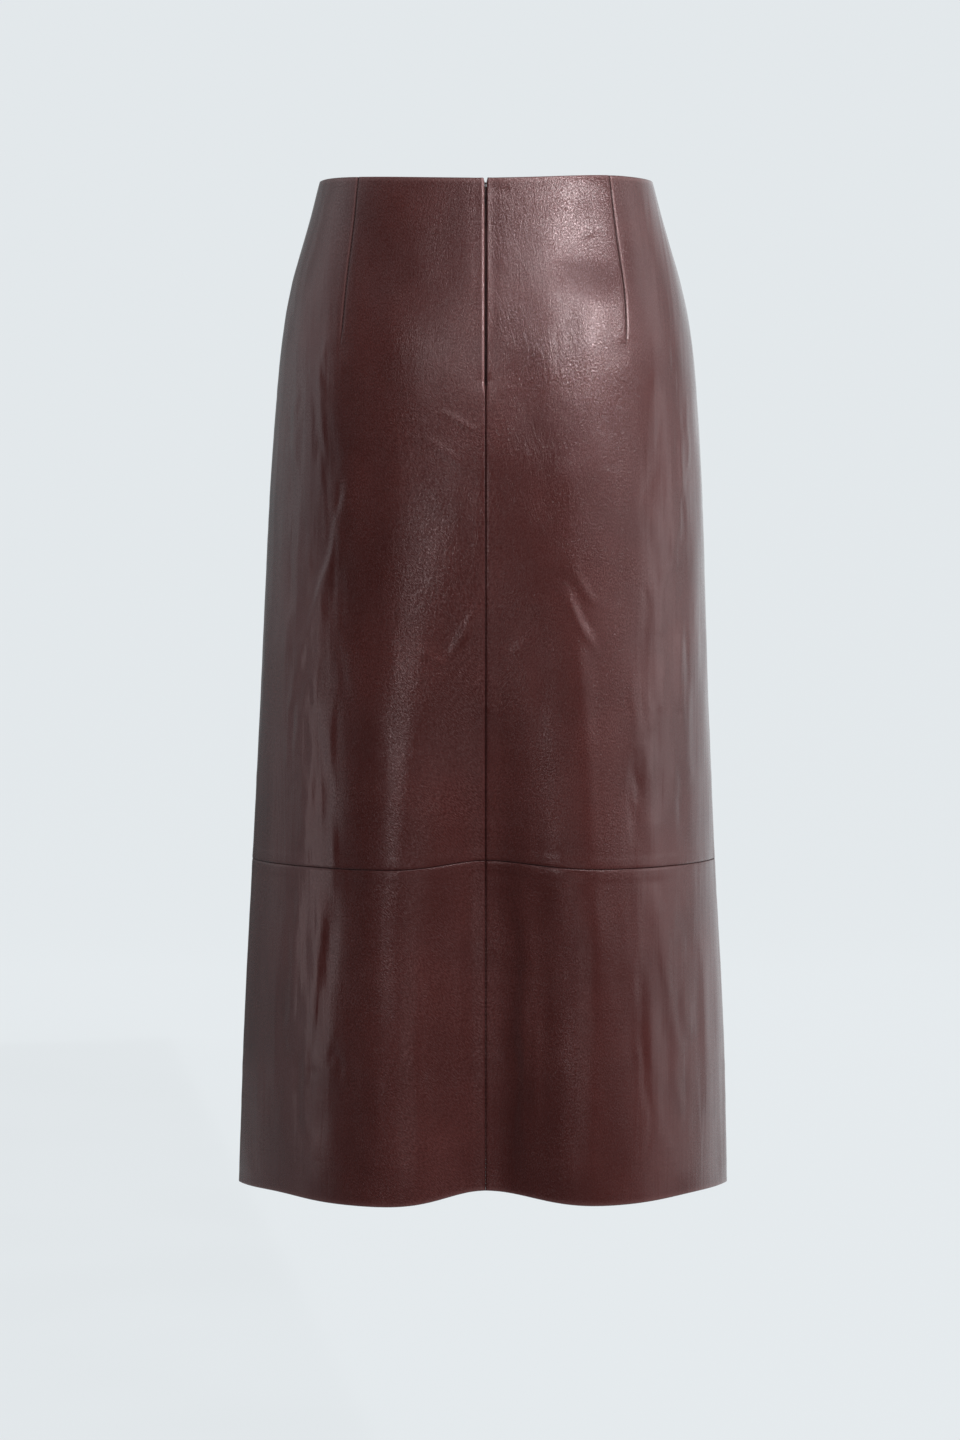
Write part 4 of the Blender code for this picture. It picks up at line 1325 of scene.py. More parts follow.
def enamelled_metal(colour):
    """Enamel on die-cast metal, rubbed through to the bare metal on its edges."""
    g = Graph("enamelled_zip_metal")
    speck = g.noise(g.solid_place(), 2400.0, 3.0)
    rub = g.math("MULTIPLY", g.attribute("wear"), g.ranged(speck, 0.35, 0.65, 0.0, 1.0))
    shade = g.mixed(g.math("MULTIPLY", rub, 0.7), tuple(colour), (0.38, 0.33, 0.29))
    g.surface(Base_Color=shade, Metallic=g.math("MULTIPLY_ADD", rub, 0.6, 0.25))
    g.surface(Roughness=g.ranged(speck, 0.3, 0.7, 0.24, 0.36), Normal=g.bumped(speck, 0.00004))
    return g.surface(Coat_Weight=0.4, Coat_Roughness=0.12)


def pale_paper(colour, glow):
    """Studio sweep that glows evenly by itself and hardly answers the lights."""
    g = Graph("studio_sweep")
    cloud = g.noise(g.solid_place(), 1.5)
    shade = g.mixed(g.ranged(cloud, 0.3, 0.7, 0.0, 1.0), toned(colour, 0.985), tuple(colour))
    g.surface(Base_Color=g.mixed(PAPER_DARKENED, shade, (0.0, 0.0, 0.0)), Roughness=0.9)
    g.surface(Specular_IOR_Level=0.1, Emission_Color=(*colour, 1.0))
    return g.surface(Emission_Strength=glow)


def black_card():
    """Matt black card with a faint glow in soft drapes.

    The glow grows from nothing at the front to its full strength beside the skirt, fades again
    behind it, and is stronger upwards.
    """
    g = Graph("black_card")
    shade = g.mixed(g.noise(g.solid_place(), 3.0), (0.004,) * 3, (0.008,) * 3)
    place = g.add("SeparateXYZ", Vector=g.solid_place())
    depth = place.outputs["Y"]
    glow = g.times(
        g.ranged(depth, *CARD_GLOW_FROM, 0.0, CARD_GLOW),
        g.ranged(depth, *CARD_GLOW_TO, 1.0, 0.35),
        g.ranged(place.outputs["Z"], *CARD_GLOW_RISE, 0.55, 1.25),
    )
    drapes = g.noise(g.stretched(g.solid_place(), CARD_DRAPE, CARD_DRAPE), 1.0, 3.0)
    glow = g.math("MULTIPLY", glow, g.ranged(drapes, 0.35, 0.65, 0.6, 1.3))
    g.surface(Emission_Color=(*AMBIENT, 1.0), Emission_Strength=glow)
    return g.surface(Base_Color=shade, Roughness=1.0, Specular_IOR_Level=0.0)


def shared(name, make, *given):
    """The material of that name, made at its first use."""
    return bpy.data.materials.get(name) or make(*given)


# ---------------------------------------------------------------------------- settings


class LeatherSettings(bpy.types.PropertyGroup):
    wall: bpy.props.FloatProperty(
        name="Thickness", description="Thickness of one layer of leather",
        default=0.0012, min=0.0005, max=0.003, precision=4, unit="LENGTH", subtype="DISTANCE",
    )
    turned_wall: bpy.props.FloatProperty(
        name="Turned thickness", description="Thickness where the waist edge and hem are turned in",
        default=0.0022, min=0.001, max=0.006, precision=4, unit="LENGTH", subtype="DISTANCE",
    )
    colour: bpy.props.FloatVectorProperty(
        name="Colour", description="Dye of the grain side",
        default=(0.086, 0.0220, 0.0193), min=0.0, max=1.0, size=3, subtype="COLOR",
    )
    roughness: bpy.props.FloatProperty(
        name="Roughness", description="Roughness of the finish",
        default=0.22, min=0.1, max=1.0, subtype="FACTOR",
    )
    coat: bpy.props.FloatProperty(
        name="Top coat", description="Share of clear gloss on the grain side",
        default=0.65, min=0.0, max=1.0, subtype="FACTOR",
    )
    grain_size: bpy.props.FloatProperty(
        name="Grain size", description="Width of the grain's cells",
        default=0.0018, min=0.0004, max=0.006, precision=4, unit="LENGTH", subtype="DISTANCE",
    )
    grain_depth: bpy.props.FloatProperty(
        name="Grain depth", description="Height of the grain",
        default=0.0002, min=0.0, max=0.001, precision=5, unit="LENGTH", subtype="DISTANCE",
    )
    streak_depth: bpy.props.FloatProperty(
        name="Streak depth", description="Height of the fine upright wrinkles on the flanks",
        default=0.00022, min=0.0, max=0.003, precision=5, unit="LENGTH", subtype="DISTANCE",
    )
    crease_depth: bpy.props.FloatProperty(
        name="Creases", description="Strength of folds and creases; 1 is as worn",
        default=1.0, min=0.0, max=2.0, subtype="FACTOR",
    )


class SeamSettings(bpy.types.PropertyGroup):
    stitch_length: bpy.props.FloatProperty(
        name="Stitch length", description="From one needle hole to the next",
        default=0.0031, min=0.001, max=0.008, precision=4, unit="LENGTH", subtype="DISTANCE",
    )
    thread_width: bpy.props.FloatProperty(
        name="Thread width", description="Thickness of the sewing thread",
        default=0.00034, min=0.0001, max=0.001, precision=5, unit="LENGTH", subtype="DISTANCE",
    )
    thread_colour: bpy.props.FloatVectorProperty(
        name="Thread colour", description="Colour of the sewing thread",
        default=(0.13, 0.055, 0.052), min=0.0, max=1.0, size=3, subtype="COLOR",
    )


class ZipSettings(bpy.types.PropertyGroup):
    tape_colour: bpy.props.FloatVectorProperty(
        name="Tape colour", description="Colour of the woven tape",
        default=(0.034, 0.013, 0.014), min=0.0, max=1.0, size=3, subtype="COLOR",
    )
    metal_colour: bpy.props.FloatVectorProperty(
        name="Enamel colour", description="Colour of the slider and its pull",
        default=(0.060, 0.018, 0.018), min=0.0, max=1.0, size=3, subtype="COLOR",
    )
    pitch: bpy.props.FloatProperty(
        name="Coil pitch", description="From one tooth of a coil to the next",
        default=COIL_PITCH, min=0.0008, max=0.004, precision=4, unit="LENGTH", subtype="DISTANCE",
    )


class StageSettings(bpy.types.PropertyGroup):
    floor_drop: bpy.props.FloatProperty(
        name="Floor below hem", description="Height of the hem above the floor",
        default=0.36, min=0.0, max=2.0, unit="LENGTH", subtype="DISTANCE",
    )
    exposure: bpy.props.FloatProperty(
        name="Light", description="Strength of all the studio lights together",
        default=1.0, min=0.0, max=5.0, subtype="FACTOR",
    )
    paper: bpy.props.FloatVectorProperty(
        name="Paper colour", description="Colour of the studio sweep",
        default=(0.783, 0.823, 0.847), min=0.0, max=1.0, size=3, subtype="COLOR",
    )


# ---------------------------------------------------------------------------- making the pieces


def declare(piece, body, replaces=()):
    """Place a piece on its body and hide the nodes it stands for."""
    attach(piece, body)
    if replaces:
        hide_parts(*replaces)
    return piece


def leather_materials(settings):
    """Grain side first, flesh side second."""
    grain = shared("oxblood_nappa", nappa, settings)
    return [grain, shared("leather_flesh_side", flesh_side, settings)]


def quarter_places(marks, step):
    """Places across one quarter, 0 to 1, close together near each mark."""
    return graded([mark * QUARTER for mark in marks], FINE_STEP, step) / QUARTER


def upper_columns(side, back, step):
    """Columns of one half of an upper panel, signed by its side."""
    tip = DARTS[back][side]["tip_place"]
    places = quarter_places((0.0, tip, 1.0), step)
    places[0] = NEAR_CENTRE
    return places if side > 0 else -places[::-1]


def panel_rows(length, turn, at_top, step):
    """Shares down a panel, close together at its edges and where the turned layer ends."""
    turned = turn if at_top else length - turn - TURN_STEP
    marks = (0.0, turned, turned + TURN_STEP, length)
    return graded(marks, FINE_STEP, step) / length


def check_fit(piece, node):
    """Raise an error if a piece and the node it stands for don't fill the same space."""
    low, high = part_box(node)
    corners = np.array([corner[:] for corner in piece.bound_box])
    off = np.abs([corners.min(0) - np.array(low), corners.max(0) - np.array(high)])
    apart = off.max()
    if apart > FIT_TOLERANCE:
        raise RuntimeError(f"{piece.name} is {apart * 1000:.1f} mm off the node {node}")


def declare_cloth(piece, size, area, node, rests_on=()):
    """Place a leather panel on its body after checking that it fills its node; its flat size and
    area are not used.
    """
    check_fit(piece, node)
    declare(piece, "skirt", [node])


class SKIRT_OT_upper_panels(bpy.types.Operator):
    """Build the front and the two backs that run from the waist to the level seam"""

    bl_idname = "skirt.upper_panels"
    bl_label = "Upper panels"

    def execute(self, context):
        leather = context.scene.skirt_leather
        materials = leather_materials(leather)
        rows = panel_rows(-LEVEL_SEAM, WAIST_TURN, True, ROW_STEP)
        for side, node in ((-1, "back_upper_left"), (1, "back_upper_right")):
            columns = upper_columns(side, True, COLUMN_STEP)
            panel = Panel(node, columns, rows, waist_edge, above_level_seam, True, True)
            seed = SLACK_SEEDS["back_upper"] + side
            declare_cloth(*build_panel(panel, leather, materials, seed), node)
        rows = panel_rows(-LEVEL_SEAM, WAIST_TURN, True, FRONT_ROW_STEP)
        half = upper_columns(1, False, FRONT_COLUMN_STEP)
        columns = np.concatenate([-half[:0:-1], half])
        panel = Panel("front_upper", columns, rows, waist_edge, above_level_seam, False, True)
        seed = SLACK_SEEDS["front_upper"]
        declare_cloth(*build_panel(panel, leather, materials, seed), "front_upper")
        return {"FINISHED"}


class SKIRT_OT_lower_panels(bpy.types.Operator):
    """Build the front and the two backs that run from the level seam to the hem"""

    bl_idname = "skirt.lower_panels"
    bl_label = "Lower panels"

    def execute(self, context):
        leather = context.scene.skirt_leather
        materials = leather_materials(leather)
        rows = panel_rows(LEVEL_SEAM - HEM, HEM_TURN, False, LOWER_STEP)
        half = quarter_places((0.0, 1.0), COLUMN_STEP)
        half[0] = NEAR_CENTRE
        for side, node in ((-1, "back_lower_left"), (1, "back_lower_right")):
            columns = half if side > 0 else -half[::-1]
            panel = Panel(node, columns, rows, below_level_seam, hem_line, True, False)
            above = node.replace("lower", "upper") + "_leather"
            seed = SLACK_SEEDS["back_lower"] + side
            declare_cloth(*build_panel(panel, leather, materials, seed), node, [above])
        half = quarter_places((0.0, 1.0), FRONT_COLUMN_STEP)
        half[0] = NEAR_CENTRE
        columns = np.concatenate([-half[:0:-1], half])
        panel = Panel("front_lower", columns, rows, below_level_seam, hem_line, False, False)
        made = build_panel(panel, leather, materials, SLACK_SEEDS["front_lower"])
        declare_cloth(*made, "front_lower", ["front_upper_leather"])
        return {"FINISHED"}


def seam_line_points(places, heights, back, sink):
    """Points along a seam, sunk below the form by sink, and the form's normals there."""
    normal = form_normal(places, heights, back)
    return on_form(places, heights, back) - normal * sink, normal


def resampled(points, normals, step):
    """The line cut into equal lengths near step: its points and normals at the cuts."""
    length = lengths_along(points)
    count = max(2, int(round(length[-1] / step)) + 1)
    at = np.linspace(0, length[-1], count)
    place = np.stack([np.interp(at, length, points[:, i]) for i in range(3)], axis=1)
    facing = np.stack([np.interp(at, length, normals[:, i]) for i in range(3)], axis=1)
    return place, facing / np.linalg.norm(facing, axis=1, keepdims=True)


def ring_angles(sides):
    """Angles round a ring, half a step off the axis, so that its halves mirror each other."""
    return (np.arange(sides) + 0.5) * 2 * math.pi / sides


def closed_tubes(points):
    """Quads of closed tubes given as an array of tubes, rings and an even count of points.

    Each end is closed by a ladder of quads between its points i and count - 1 - i.
    """
    tubes, rings, sides = points.shape[:3]
    index = np.arange(tubes * rings * sides).reshape(tubes, rings, sides)
    after = np.roll(index, -1, axis=2)
    skin = np.stack([index[:, :-1], after[:, :-1], after[:, 1:], index[:, 1:]], axis=-1)
    near, far = index[..., : sides // 2], index[..., : sides // 2 - 1 : -1]
    ladder = np.stack([near[..., :-1], near[..., 1:], far[..., 1:], far[..., :-1]], axis=-1)
    faces = (skin, ladder[:, 0, :, ::-1], ladder[:, -1])
    return np.concatenate([part.reshape(-1, 4) for part in faces])


def stitch_rows(lines, step, width):
    """Stitches laid end to end along each line, as rings of points.

    A stitch is a tube of circles between two needle holes: its middle rises by half its width,
    and its radius follows a low power of the sine of the share of its length.
    """
    starts, spans, facings = [], [], []
    for points, normals in lines:
        place, facing = resampled(points, normals, step)
        starts.append(place[:-1])
        spans.append(np.diff(place, axis=0))
        facings.append((facing[:-1] + facing[1:]) / 2)
    parts = (starts, spans, facings)
    start, span, facing = (np.concatenate(part)[:, None, None] for part in parts)
    sideways = np.cross(facing, span)
    sideways = sideways / np.linalg.norm(sideways, axis=-1, keepdims=True)
    share = np.linspace(*STITCH_ENDS, STITCH_STATIONS)[None, :, None, None]
    turn = ring_angles(STITCH_SIDES)[None, None, :, None]
    swell = np.sin(share * math.pi)
    radius = width / 2 * swell**STITCH_TAPER
    middle = start + span * (0.5 + (share - 0.5) * STITCH_FILL) + facing * width * 0.5 * swell
    return middle + radius * (np.cos(turn) * facing + np.sin(turn) * sideways)


def tubes_object(name, rings, materials):
    """Object made of closed tubes, turned to face outwards."""
    points = rings.reshape(-1, 3)
    return mesh_object(name, points, facing_out(points, closed_tubes(rings)), materials)


class SKIRT_OT_stitching(bpy.types.Operator):
    """Sew the centre-back seam, the side seams, the level seam and the darts"""

    bl_idname = "skirt.stitching"
    bl_label = "Stitching"

    def execute(self, context):
        seams = context.scene.skirt_seams
        material = shared("sewing_thread", thread, tuple(seams.thread_colour))
        lines = {"centre_back": [], "side": [], "level": [], "dart": []}
        foot = HEM + SEWN_ABOVE_HEM["centre_back"]
        z = np.linspace(ZIP_END - SEWN_BELOW_ZIP, foot, SEWN_POINTS)
        line = seam_line_points(np.full_like(z, NEAR_CENTRE), z, True, STITCH_SINK)
        lines["centre_back"].append(line)
        for side in (-1.0, 1.0):
            foot = HEM + SEWN_ABOVE_HEM["side"]
            z = np.linspace(-SEWN_BELOW_WAIST["side"], foot, SEWN_POINTS)
            lines["side"].append(seam_line_points(np.full_like(z, side), z, True, STITCH_SINK))
            for back in (True, False):
                places = side * np.linspace(*SEWN_SHARE, SEWN_POINTS)
                line = seam_line_points(places, level_seam(places, back), back, STITCH_SINK)
                lines["level"].append(line)
                dart = DARTS[back][side]
                z = np.linspace(dart["tip_height"], -SEWN_BELOW_WAIST["dart"], DART_SEWN_POINTS)
                places = with_dart(np.full_like(z, side * dart["tip_place"]), z, dart)
                lines["dart"].append(seam_line_points(places, z, back, DART_STITCH_SINK))
        for name, rows in lines.items():
            rings = stitch_rows(rows, seams.stitch_length, seams.thread_width)
            declare(tubes_object(name + "_stitches", rings, [material]), "skirt")
        return {"FINISHED"}


def tape_depth(height, settings):
    """Depth of the tape's outer face below the form: it steps in behind the turned waist edge."""
    turned = smooth_step(-height - BACK_WAIST_DIP, WAIST_TURN, WAIST_TURN + TURN_STEP)
    return settings.turned_wall + (settings.wall - settings.turned_wall) * turned + TAPE_GAP


class SKIRT_OT_zip_tapes(bpy.types.Operator):
    """Weave the two tapes that carry the coils, flat against the backs' inner sides"""

    bl_idname = "skirt.zip_tapes"
    bl_label = "Zip tapes"

    def execute(self, context):
        leather = context.scene.skirt_leather
        material = shared("zip_tape_weave", woven_tape, tuple(context.scene.skirt_zip.tape_colour))
        heights = np.linspace(-BACK_WAIST_DIP - TAPE_TOP, ZIP_END - TAPE_TAIL, TAPE_ROWS)
        offsets = graded((TAPE_INNER_EDGE, TAPE_OUTER_EDGE), *TAPE_STEPS)
        for side, node in ((-1, "zip_tape_left"), (1, "zip_tape_right")):
            across, height = np.meshgrid(side * offsets / QUARTER, heights)
            normal = form_normal(across, height, True)
            edge = np.minimum(offsets - TAPE_INNER_EDGE, TAPE_OUTER_EDGE - offsets)
            round_off = rounded_edge(edge, TAPE_THICK / 2)[None, :]
            depth = tape_depth(height, leather)
            outer = on_form(across, height, True) - normal * (depth + round_off)[..., None]
            inner = on_form(across, height, True)
            inner = inner - normal * (depth + TAPE_THICK - round_off)[..., None]
            places = np.stack(np.meshgrid(offsets * side, heights), axis=-1)
            piece = layered_object(node + "_weave", outer, inner, places, [material])
            declare(piece, "skirt", [node])
        return {"FINISHED"}


def wire(path, radius, sides):
    """Rings of a round wire carried along a path.

    Each ring is a circle in the plane of two directions square to the path: its run's cross
    product with X, and the cross product of the run with that.
    """
    run = np.gradient(path, axis=0)
    run = run / np.linalg.norm(run, axis=1, keepdims=True)
    first = np.cross(run, np.array([1.0, 0.0, 0.0]))
    first = first / np.linalg.norm(first, axis=1, keepdims=True)
    second = np.cross(run, first)
    turn = ring_angles(sides)[None, :, None]
    circle = first[:, None] * np.cos(turn) + second[:, None] * np.sin(turn)
    return (path[:, None] + radius * circle)[None]


class SKIRT_OT_zip_coils(bpy.types.Operator):
    """Wind the two interlocking coils that close the zip"""

    bl_idname = "skirt.zip_coils"
    bl_label = "Zip coils"

    def execute(self, context):
        leather = context.scene.skirt_leather
        pitch = context.scene.skirt_zip.pitch
        material = shared("zip_coil_nylon", coil_nylon, tuple(context.scene.skirt_zip.tape_colour))
        top = -BACK_WAIST_DIP - 2 * TAPE_TOP
        length = top - ZIP_END
        turns = int(length / pitch)
        angle = np.linspace(0, 2 * math.pi * turns, turns * COIL_TURN_POINTS)
        for side, name in ((-1, "zip_coil_left"), (1, "zip_coil_right")):
            phase = angle + (math.pi if side > 0 else 0)
            height = top - length * angle / angle[-1]
            normal = form_normal(np.full_like(height, NEAR_CENTRE), height, True)
            depth = tape_depth(height, leather) + TAPE_THICK + COIL_RADIUS + COIL_WIRE
            centre = outline_point(0 * height, 1.0, height, True)
            centre = centre - normal * (depth - COIL_RADIUS * np.sin(phase))[:, None]
            centre[:, 0] = side * (COIL_PLACE + COIL_RADIUS * np.cos(phase))
            rings = wire(centre, COIL_WIRE, COIL_WIRE_SIDES)
            declare(tubes_object(name, rings, [material]), "skirt")
        return {"FINISHED"}


def rounded_ring(half_x, half_y, power, sides):
    """Superellipse: cosine and sine raised to 2 / power, times the half sizes."""
    turn = ring_angles(sides)
    x = np.sign(np.cos(turn)) * np.abs(np.cos(turn)) ** (2 / power)
    y = np.sign(np.sin(turn)) * np.abs(np.sin(turn)) ** (2 / power)
    return half_x * x, half_y * y


def at_hinge(points, turn):
    """Points about the hinge turned round X by an angle and moved to the hinge."""
    x, y, z = np.moveaxis(points, -1, 0)
    turned_y = y * math.cos(turn) - z * math.sin(turn)
    turned_z = y * math.sin(turn) + z * math.cos(turn)
    return np.stack([x, turned_y, turned_z], axis=-1) + np.array(HINGE)


def slider_body():
    """Rings down the slider: rounded oblongs that narrow to the foot, pulled in at both ends."""
    z = graded((SLIDER_FOOT, SLIDER_TOP), *SLIDER_STEPS)
    to_end = np.minimum(z - SLIDER_FOOT, SLIDER_TOP - z)
    inset = rounded_edge(to_end, SLIDER_ROUND)
    widen = smooth_step(z, SLIDER_FOOT, SLIDER_TOP)
    half_x = SLIDER_FOOT_HALF_WIDTH + (SLIDER_TOP_HALF_WIDTH - SLIDER_FOOT_HALF_WIDTH) * widen
    half_y = SLIDER_DEPTH / 2 - inset
    x, y = rounded_ring((half_x - inset)[:, None], half_y[:, None], SLIDER_POWER, RING_SIDES)
    y = y + SLIDER_FACE + SLIDER_DEPTH / 2
    return np.stack([x, y, z[:, None] + 0 * x], axis=-1)[None]


def slider_ear(side):
    """Rings across an ear's thickness: an arch on two short legs, pulled in at both faces."""
    x = graded((EAR_INNER, EAR_INNER + EAR_THICK), *EAR_STEPS)
    inset = rounded_edge(np.minimum(x - EAR_INNER, EAR_INNER + EAR_THICK - x), EAR_THICK / 3)
    turn = ring_angles(EAR_SIDES)
    arch = np.sin(turn) > 0
    leg = SLIDER_TOP - SLIDER_ROUND
    squared = np.sign(np.cos(turn)) * np.abs(np.cos(turn)) ** np.where(arch, 1.0, EAR_POWER)
    up = np.where(arch, EAR_RADIUS * np.sin(turn), leg * np.abs(np.sin(turn)) ** EAR_POWER)
    shrink = 1 - inset / EAR_RADIUS
    y = shrink[:, None] * EAR_RADIUS * squared[None]
    z = np.where(arch, shrink[:, None], 1.0) * up[None]
    return np.stack([side * x[:, None] + 0 * y, y, z], axis=-1)[None]


def slider_pin():
    """Rings of the pin: circles whose radius follows a quarter circle at both domed ends."""
    half = EAR_INNER + EAR_THICK + PIN_OVERHANG
    x = graded((-half, half), *PIN_STEPS)
    radius = PIN_RADIUS - rounded_edge(half - np.abs(x), PIN_RADIUS * PIN_DOME)
    turn = ring_angles(PIN_SIDES)
    y, z = radius[:, None] * np.cos(turn), radius[:, None] * np.sin(turn)
    return np.stack([x[:, None] + 0 * y, y, z], axis=-1)[None]


def pull_half_width(along):
    """Half the tab's width down the blade: a sine to a power swells it, then a circle ends it."""
    swell = np.sin(np.clip(along / PULL_SWELL_END, 0, 1) * math.pi / 2) ** PULL_SWELL_POWER
    into_round = np.clip((along - PULL_ROUND_START) / (1 - PULL_ROUND_START), 0, 1)
    narrow = PULL_NECK_WIDTH / 2
    return (narrow + (PULL_WIDTH / 2 - narrow) * swell) * np.sqrt(1 - into_round**2)


def pull_blade():
    """Rings down the tab: flat superellipses, thinner in the blade's middle than at its rim."""
    along = 1 - (1 - np.linspace(0, 0.999, PULL_BLADE_ROWS)) ** PULL_ROW_POWER
    neck = np.full(PULL_NECK_ROWS, PULL_NECK_WIDTH / 2)
    half_x = np.concatenate([neck, pull_half_width(along)])
    start = -(PULL_BORE_RADIUS + PULL_EYE_RADIUS) / 2
    blade = -PULL_NECK_LENGTH - (PULL_LENGTH - PULL_NECK_LENGTH) * along
    z = np.concatenate([np.linspace(start, -PULL_NECK_LENGTH, PULL_NECK_ROWS + 1)[:-1], blade])
    half_y = np.full((len(z), 1), PULL_THICK / 2)
    x, y = rounded_ring(half_x[:, None], half_y, PULL_POWER, RING_SIDES)
    middle = bump(x / np.maximum(half_x, 1e-4)[:, None], PULL_DISH_WIDTH)
    dished = PULL_DISH * middle * smooth_step(-z, *PULL_DISH_START)[:, None]
    return np.stack([x, y * (1 - dished), z[:, None] + 0 * x], axis=-1)[None]


def pull_eye():
    """Ring round the hinge's axis: a rounded oblong turned through a full circle."""
    middle = (PULL_BORE_RADIUS + PULL_EYE_RADIUS) / 2
    half = (PULL_EYE_RADIUS - PULL_BORE_RADIUS) / 2
    x, out = rounded_ring(PULL_NECK_WIDTH / 2, half, EYE_POWER, EYE_SIDES)
    turn = ring_angles(EYE_TURNS)[:, None]
    radius = middle + out[None] + 0 * turn
    return np.stack([x[None] + 0 * radius, radius * np.cos(turn), radius * np.sin(turn)], axis=-1)


def wrapped_quads(rings, sides):
    """Quads of a ring-shaped grid that joins itself both ways."""
    index = np.arange(rings * sides).reshape(rings, sides)
    beyond = np.roll(index, -1, axis=0)
    corners = [index, np.roll(index, -1, axis=1), np.roll(beyond, -1, axis=1), beyond]
    return np.stack(corners, axis=-1).reshape(-1, 4)


def metal_object(name, parts, turn, colour):
    """Object of several closed forms about the hinge, with the wear of its outer edges.

    A form's rings are tubes, rings and points; the eye's, which closes on itself, has no tubes.
    """
    points, faces, start = [], [], 0
    for rings in parts:
        quads = closed_tubes(rings) if rings.ndim == 4 else wrapped_quads(*rings.shape[:2])
        flat = rings.reshape(-1, 3)
        points.append(flat)
        faces.append(facing_out(flat, quads) + start)
        start += len(flat)
    flat = np.concatenate(points)
    metal = shared("enamelled_zip_metal", enamelled_metal, tuple(colour))
    piece = mesh_object(name, at_hinge(flat, turn), np.concatenate(faces), [metal])
    spread = np.abs(flat[:, 0]) / np.abs(flat[:, 0]).max()
    set_attribute(piece, "wear", smooth_step(spread, METAL_WEAR_START, 1.0))
    return piece


class SKIRT_OT_slider(bpy.types.Operator):
    """Form the zip's slider with its two ears and pin"""

    bl_idname = "skirt.slider"
    bl_label = "Slider"

    def execute(self, context):
        colour = context.scene.skirt_zip.metal_colour
        parts = (slider_body(), slider_ear(-1), slider_ear(1), slider_pin())
        piece = metal_object("slider_body", parts, -WALL_LEAN, colour)
        declare(piece, "skirt", ["zip_slider"])
        return {"FINISHED"}


class SKIRT_OT_pull(bpy.types.Operator):
    """Form the pull tab that swings on the slider's pin"""

    bl_idname = "skirt.pull"
    bl_label = "Pull tab"

    def execute(self, context):
        colour = context.scene.skirt_zip.metal_colour
        parts = (pull_blade(), pull_eye())
        piece = metal_object("pull_tab", parts, PULL_FROM_WALL - WALL_LEAN, colour)
        declare(piece, "pull", ["zip_pull"])
        return {"FINISHED"}


class SKIRT_OT_stage(bpy.types.Operator):
    """Set up the pale sweep, the soft lights and the camera"""

    bl_idname = "skirt.stage"
    bl_label = "Stage"

    def execute(self, context):
        settings = context.scene.skirt_stage
        build_sweep(settings)
        build_cards(settings)
        for name, row in LIGHTS.items():
            build_light(name, dict(zip(LIGHT_COLUMNS, row)), settings.exposure)
        build_world(context.scene, settings.exposure)
        build_camera(context.scene)
        context.scene.view_settings.view_transform = "Standard"
        context.scene.view_settings.look = "None"
        return {"FINISHED"}


def build_sweep(settings):
    """Floor that curves up into a wall: a straight, a quarter circle and a straight."""
    floor = HEM - settings.floor_drop
    arc = np.linspace(0, math.pi / 2, SWEEP_POINTS["bend"])
    bend = SWEEP_WALL - SWEEP_RADIUS
    straight = np.linspace(SWEEP_FRONT, bend, SWEEP_POINTS["floor"])[:-1]
    y = np.concatenate([straight, bend + SWEEP_RADIUS * np.sin(arc), [SWEEP_WALL]])
    rise = SWEEP_RADIUS * (1 - np.cos(arc))
    z = np.concatenate([np.full_like(straight, floor), floor + rise, [SWEEP_TOP]])
    x = np.linspace(-SWEEP_HALF_WIDTH, SWEEP_HALF_WIDTH, SWEEP_POINTS["across"])
    points = np.stack(np.broadcast_arrays(x[None, :], y[:, None], z[:, None]), axis=-1)
    faces = grid_quads(len(y), len(x))
    paper = shared("studio_sweep", pale_paper, tuple(settings.paper), PAPER_GLOW)
    sweep = mesh_object("studio_sweep", points.reshape(-1, 3), faces, [paper])


def build_cards(settings):
    """Black cards round the camera and on the floor before it, which the camera doesn't see.

    The upright card is an arc of a cylinder, and the floor card a flat piece of a ring.
    """
    floor = HEM - settings.floor_drop
    turn = np.radians(np.linspace(*CARD_ARC, 25))
    low = floor + CARD_LIFT
    radius = np.array([CARD_DISTANCE, CARD_DISTANCE, FLOOR_CARD_EDGE])[:, None]
    z = np.array([floor + CARD_HEIGHT, low, low])[:, None]
    x, y = radius * np.sin(turn), -radius * np.cos(turn)
    points = np.stack(np.broadcast_arrays(x, y, z), axis=-1).reshape(-1, 3)
    cloth = shared("black_card", black_card)
    card = mesh_object("black_card", points, grid_quads(3, len(turn)), [cloth])
    card.visible_camera = False


def build_light(name, row, exposure):
    """Rectangle light on a sphere round the skirt, turned to face its middle."""
    azimuth = math.radians(row["azimuth"])
    elevation = math.radians(row["elevation"])
    flat = math.cos(elevation)
    towards = Vector((math.sin(azimuth) * flat, -math.cos(azimuth) * flat, math.sin(elevation)))
    data = bpy.data.lights.new(name, "AREA")
    data.shape = "RECTANGLE"
    data.size = row["width"]
    data.size_y = row["height"]
    data.energy = row["power"] * exposure
    light = bpy.data.objects.new(name, data)
    light.location = Vector(LIGHT_TARGET) + towards * row["distance"]
    light.rotation_euler = towards.to_track_quat("Z", "Y").to_euler()
    light.visible_camera = False
    bpy.context.scene.collection.objects.link(light)


def build_world(scene, exposure):
    """Even, faint light from all round."""
    world = bpy.data.worlds.new("studio_air")
    world.use_nodes = True
    background = world.node_tree.nodes["Background"]
    background.inputs["Color"].default_value = (*AMBIENT, 1.0)
    background.inputs["Strength"].default_value = AMBIENT_STRENGTH * exposure
    scene.world = world


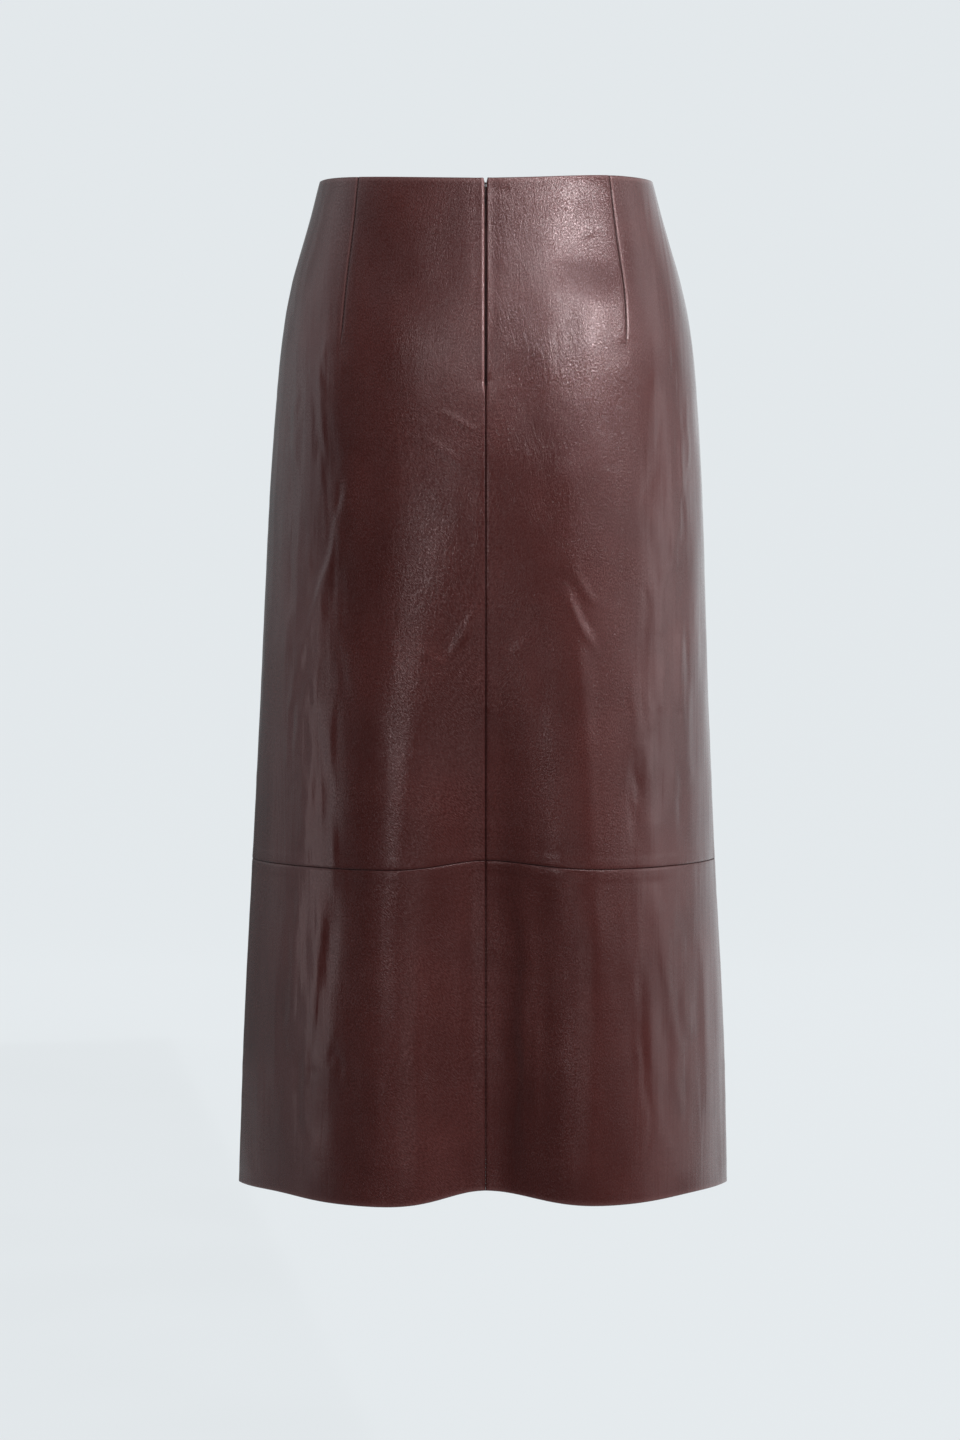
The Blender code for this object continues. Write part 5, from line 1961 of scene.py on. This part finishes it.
def build_camera(scene):
    """Camera whose view is VIEW_HEIGHT high at its distance from the skirt."""
    data = bpy.data.cameras.new("camera")
    data.sensor_fit = "VERTICAL"
    data.sensor_height = SENSOR_MM
    data.lens = SENSOR_MM * CAMERA_DISTANCE / VIEW_HEIGHT
    camera = bpy.data.objects.new("camera", data)
    camera.location = CAMERA_PLACE
    camera.rotation_euler = (math.pi / 2 - CAMERA_PITCH, 0.0, 0.0)
    scene.collection.objects.link(camera)
    scene.camera = camera


# ---------------------------------------------------------------------------- the add-on


class SKIRT_PT_sidebar(bpy.types.Panel):
    """Sizes, colours and the buttons that build each group of pieces"""

    bl_label = "Leather Skirt"
    bl_space_type = "VIEW_3D"
    bl_region_type = "UI"
    bl_category = "Skirt"

    def draw(self, context):
        scene = context.scene
        for title, group in (
            ("Leather", scene.skirt_leather),
            ("Seams", scene.skirt_seams),
            ("Zip", scene.skirt_zip),
            ("Stage", scene.skirt_stage),
        ):
            box = self.layout.box()
            box.label(text=title)
            for name in group.__annotations__:
                box.prop(group, name)
        for operator in OPERATORS:
            self.layout.operator(operator.bl_idname)


OPERATORS = (
    SKIRT_OT_upper_panels,
    SKIRT_OT_lower_panels,
    SKIRT_OT_stitching,
    SKIRT_OT_zip_tapes,
    SKIRT_OT_zip_coils,
    SKIRT_OT_slider,
    SKIRT_OT_pull,
    SKIRT_OT_stage,
)
GROUPS = {
    "skirt_leather": LeatherSettings,
    "skirt_seams": SeamSettings,
    "skirt_zip": ZipSettings,
    "skirt_stage": StageSettings,
}


def register():
    for kind in (*GROUPS.values(), *OPERATORS, SKIRT_PT_sidebar):
        bpy.utils.register_class(kind)
    for name, kind in GROUPS.items():
        setattr(bpy.types.Scene, name, bpy.props.PointerProperty(type=kind))


def unregister():
    for name in GROUPS:
        delattr(bpy.types.Scene, name)
    for kind in (SKIRT_PT_sidebar, *OPERATORS, *GROUPS.values()):
        bpy.utils.unregister_class(kind)


def main():
    register()
    bpy.ops.skirt.upper_panels()
    bpy.ops.skirt.lower_panels()
    bpy.ops.skirt.stitching()
    bpy.ops.skirt.zip_tapes()
    bpy.ops.skirt.zip_coils()
    bpy.ops.skirt.slider()
    bpy.ops.skirt.pull()
    bpy.ops.skirt.stage()


if __name__ == "__main__":
    main()
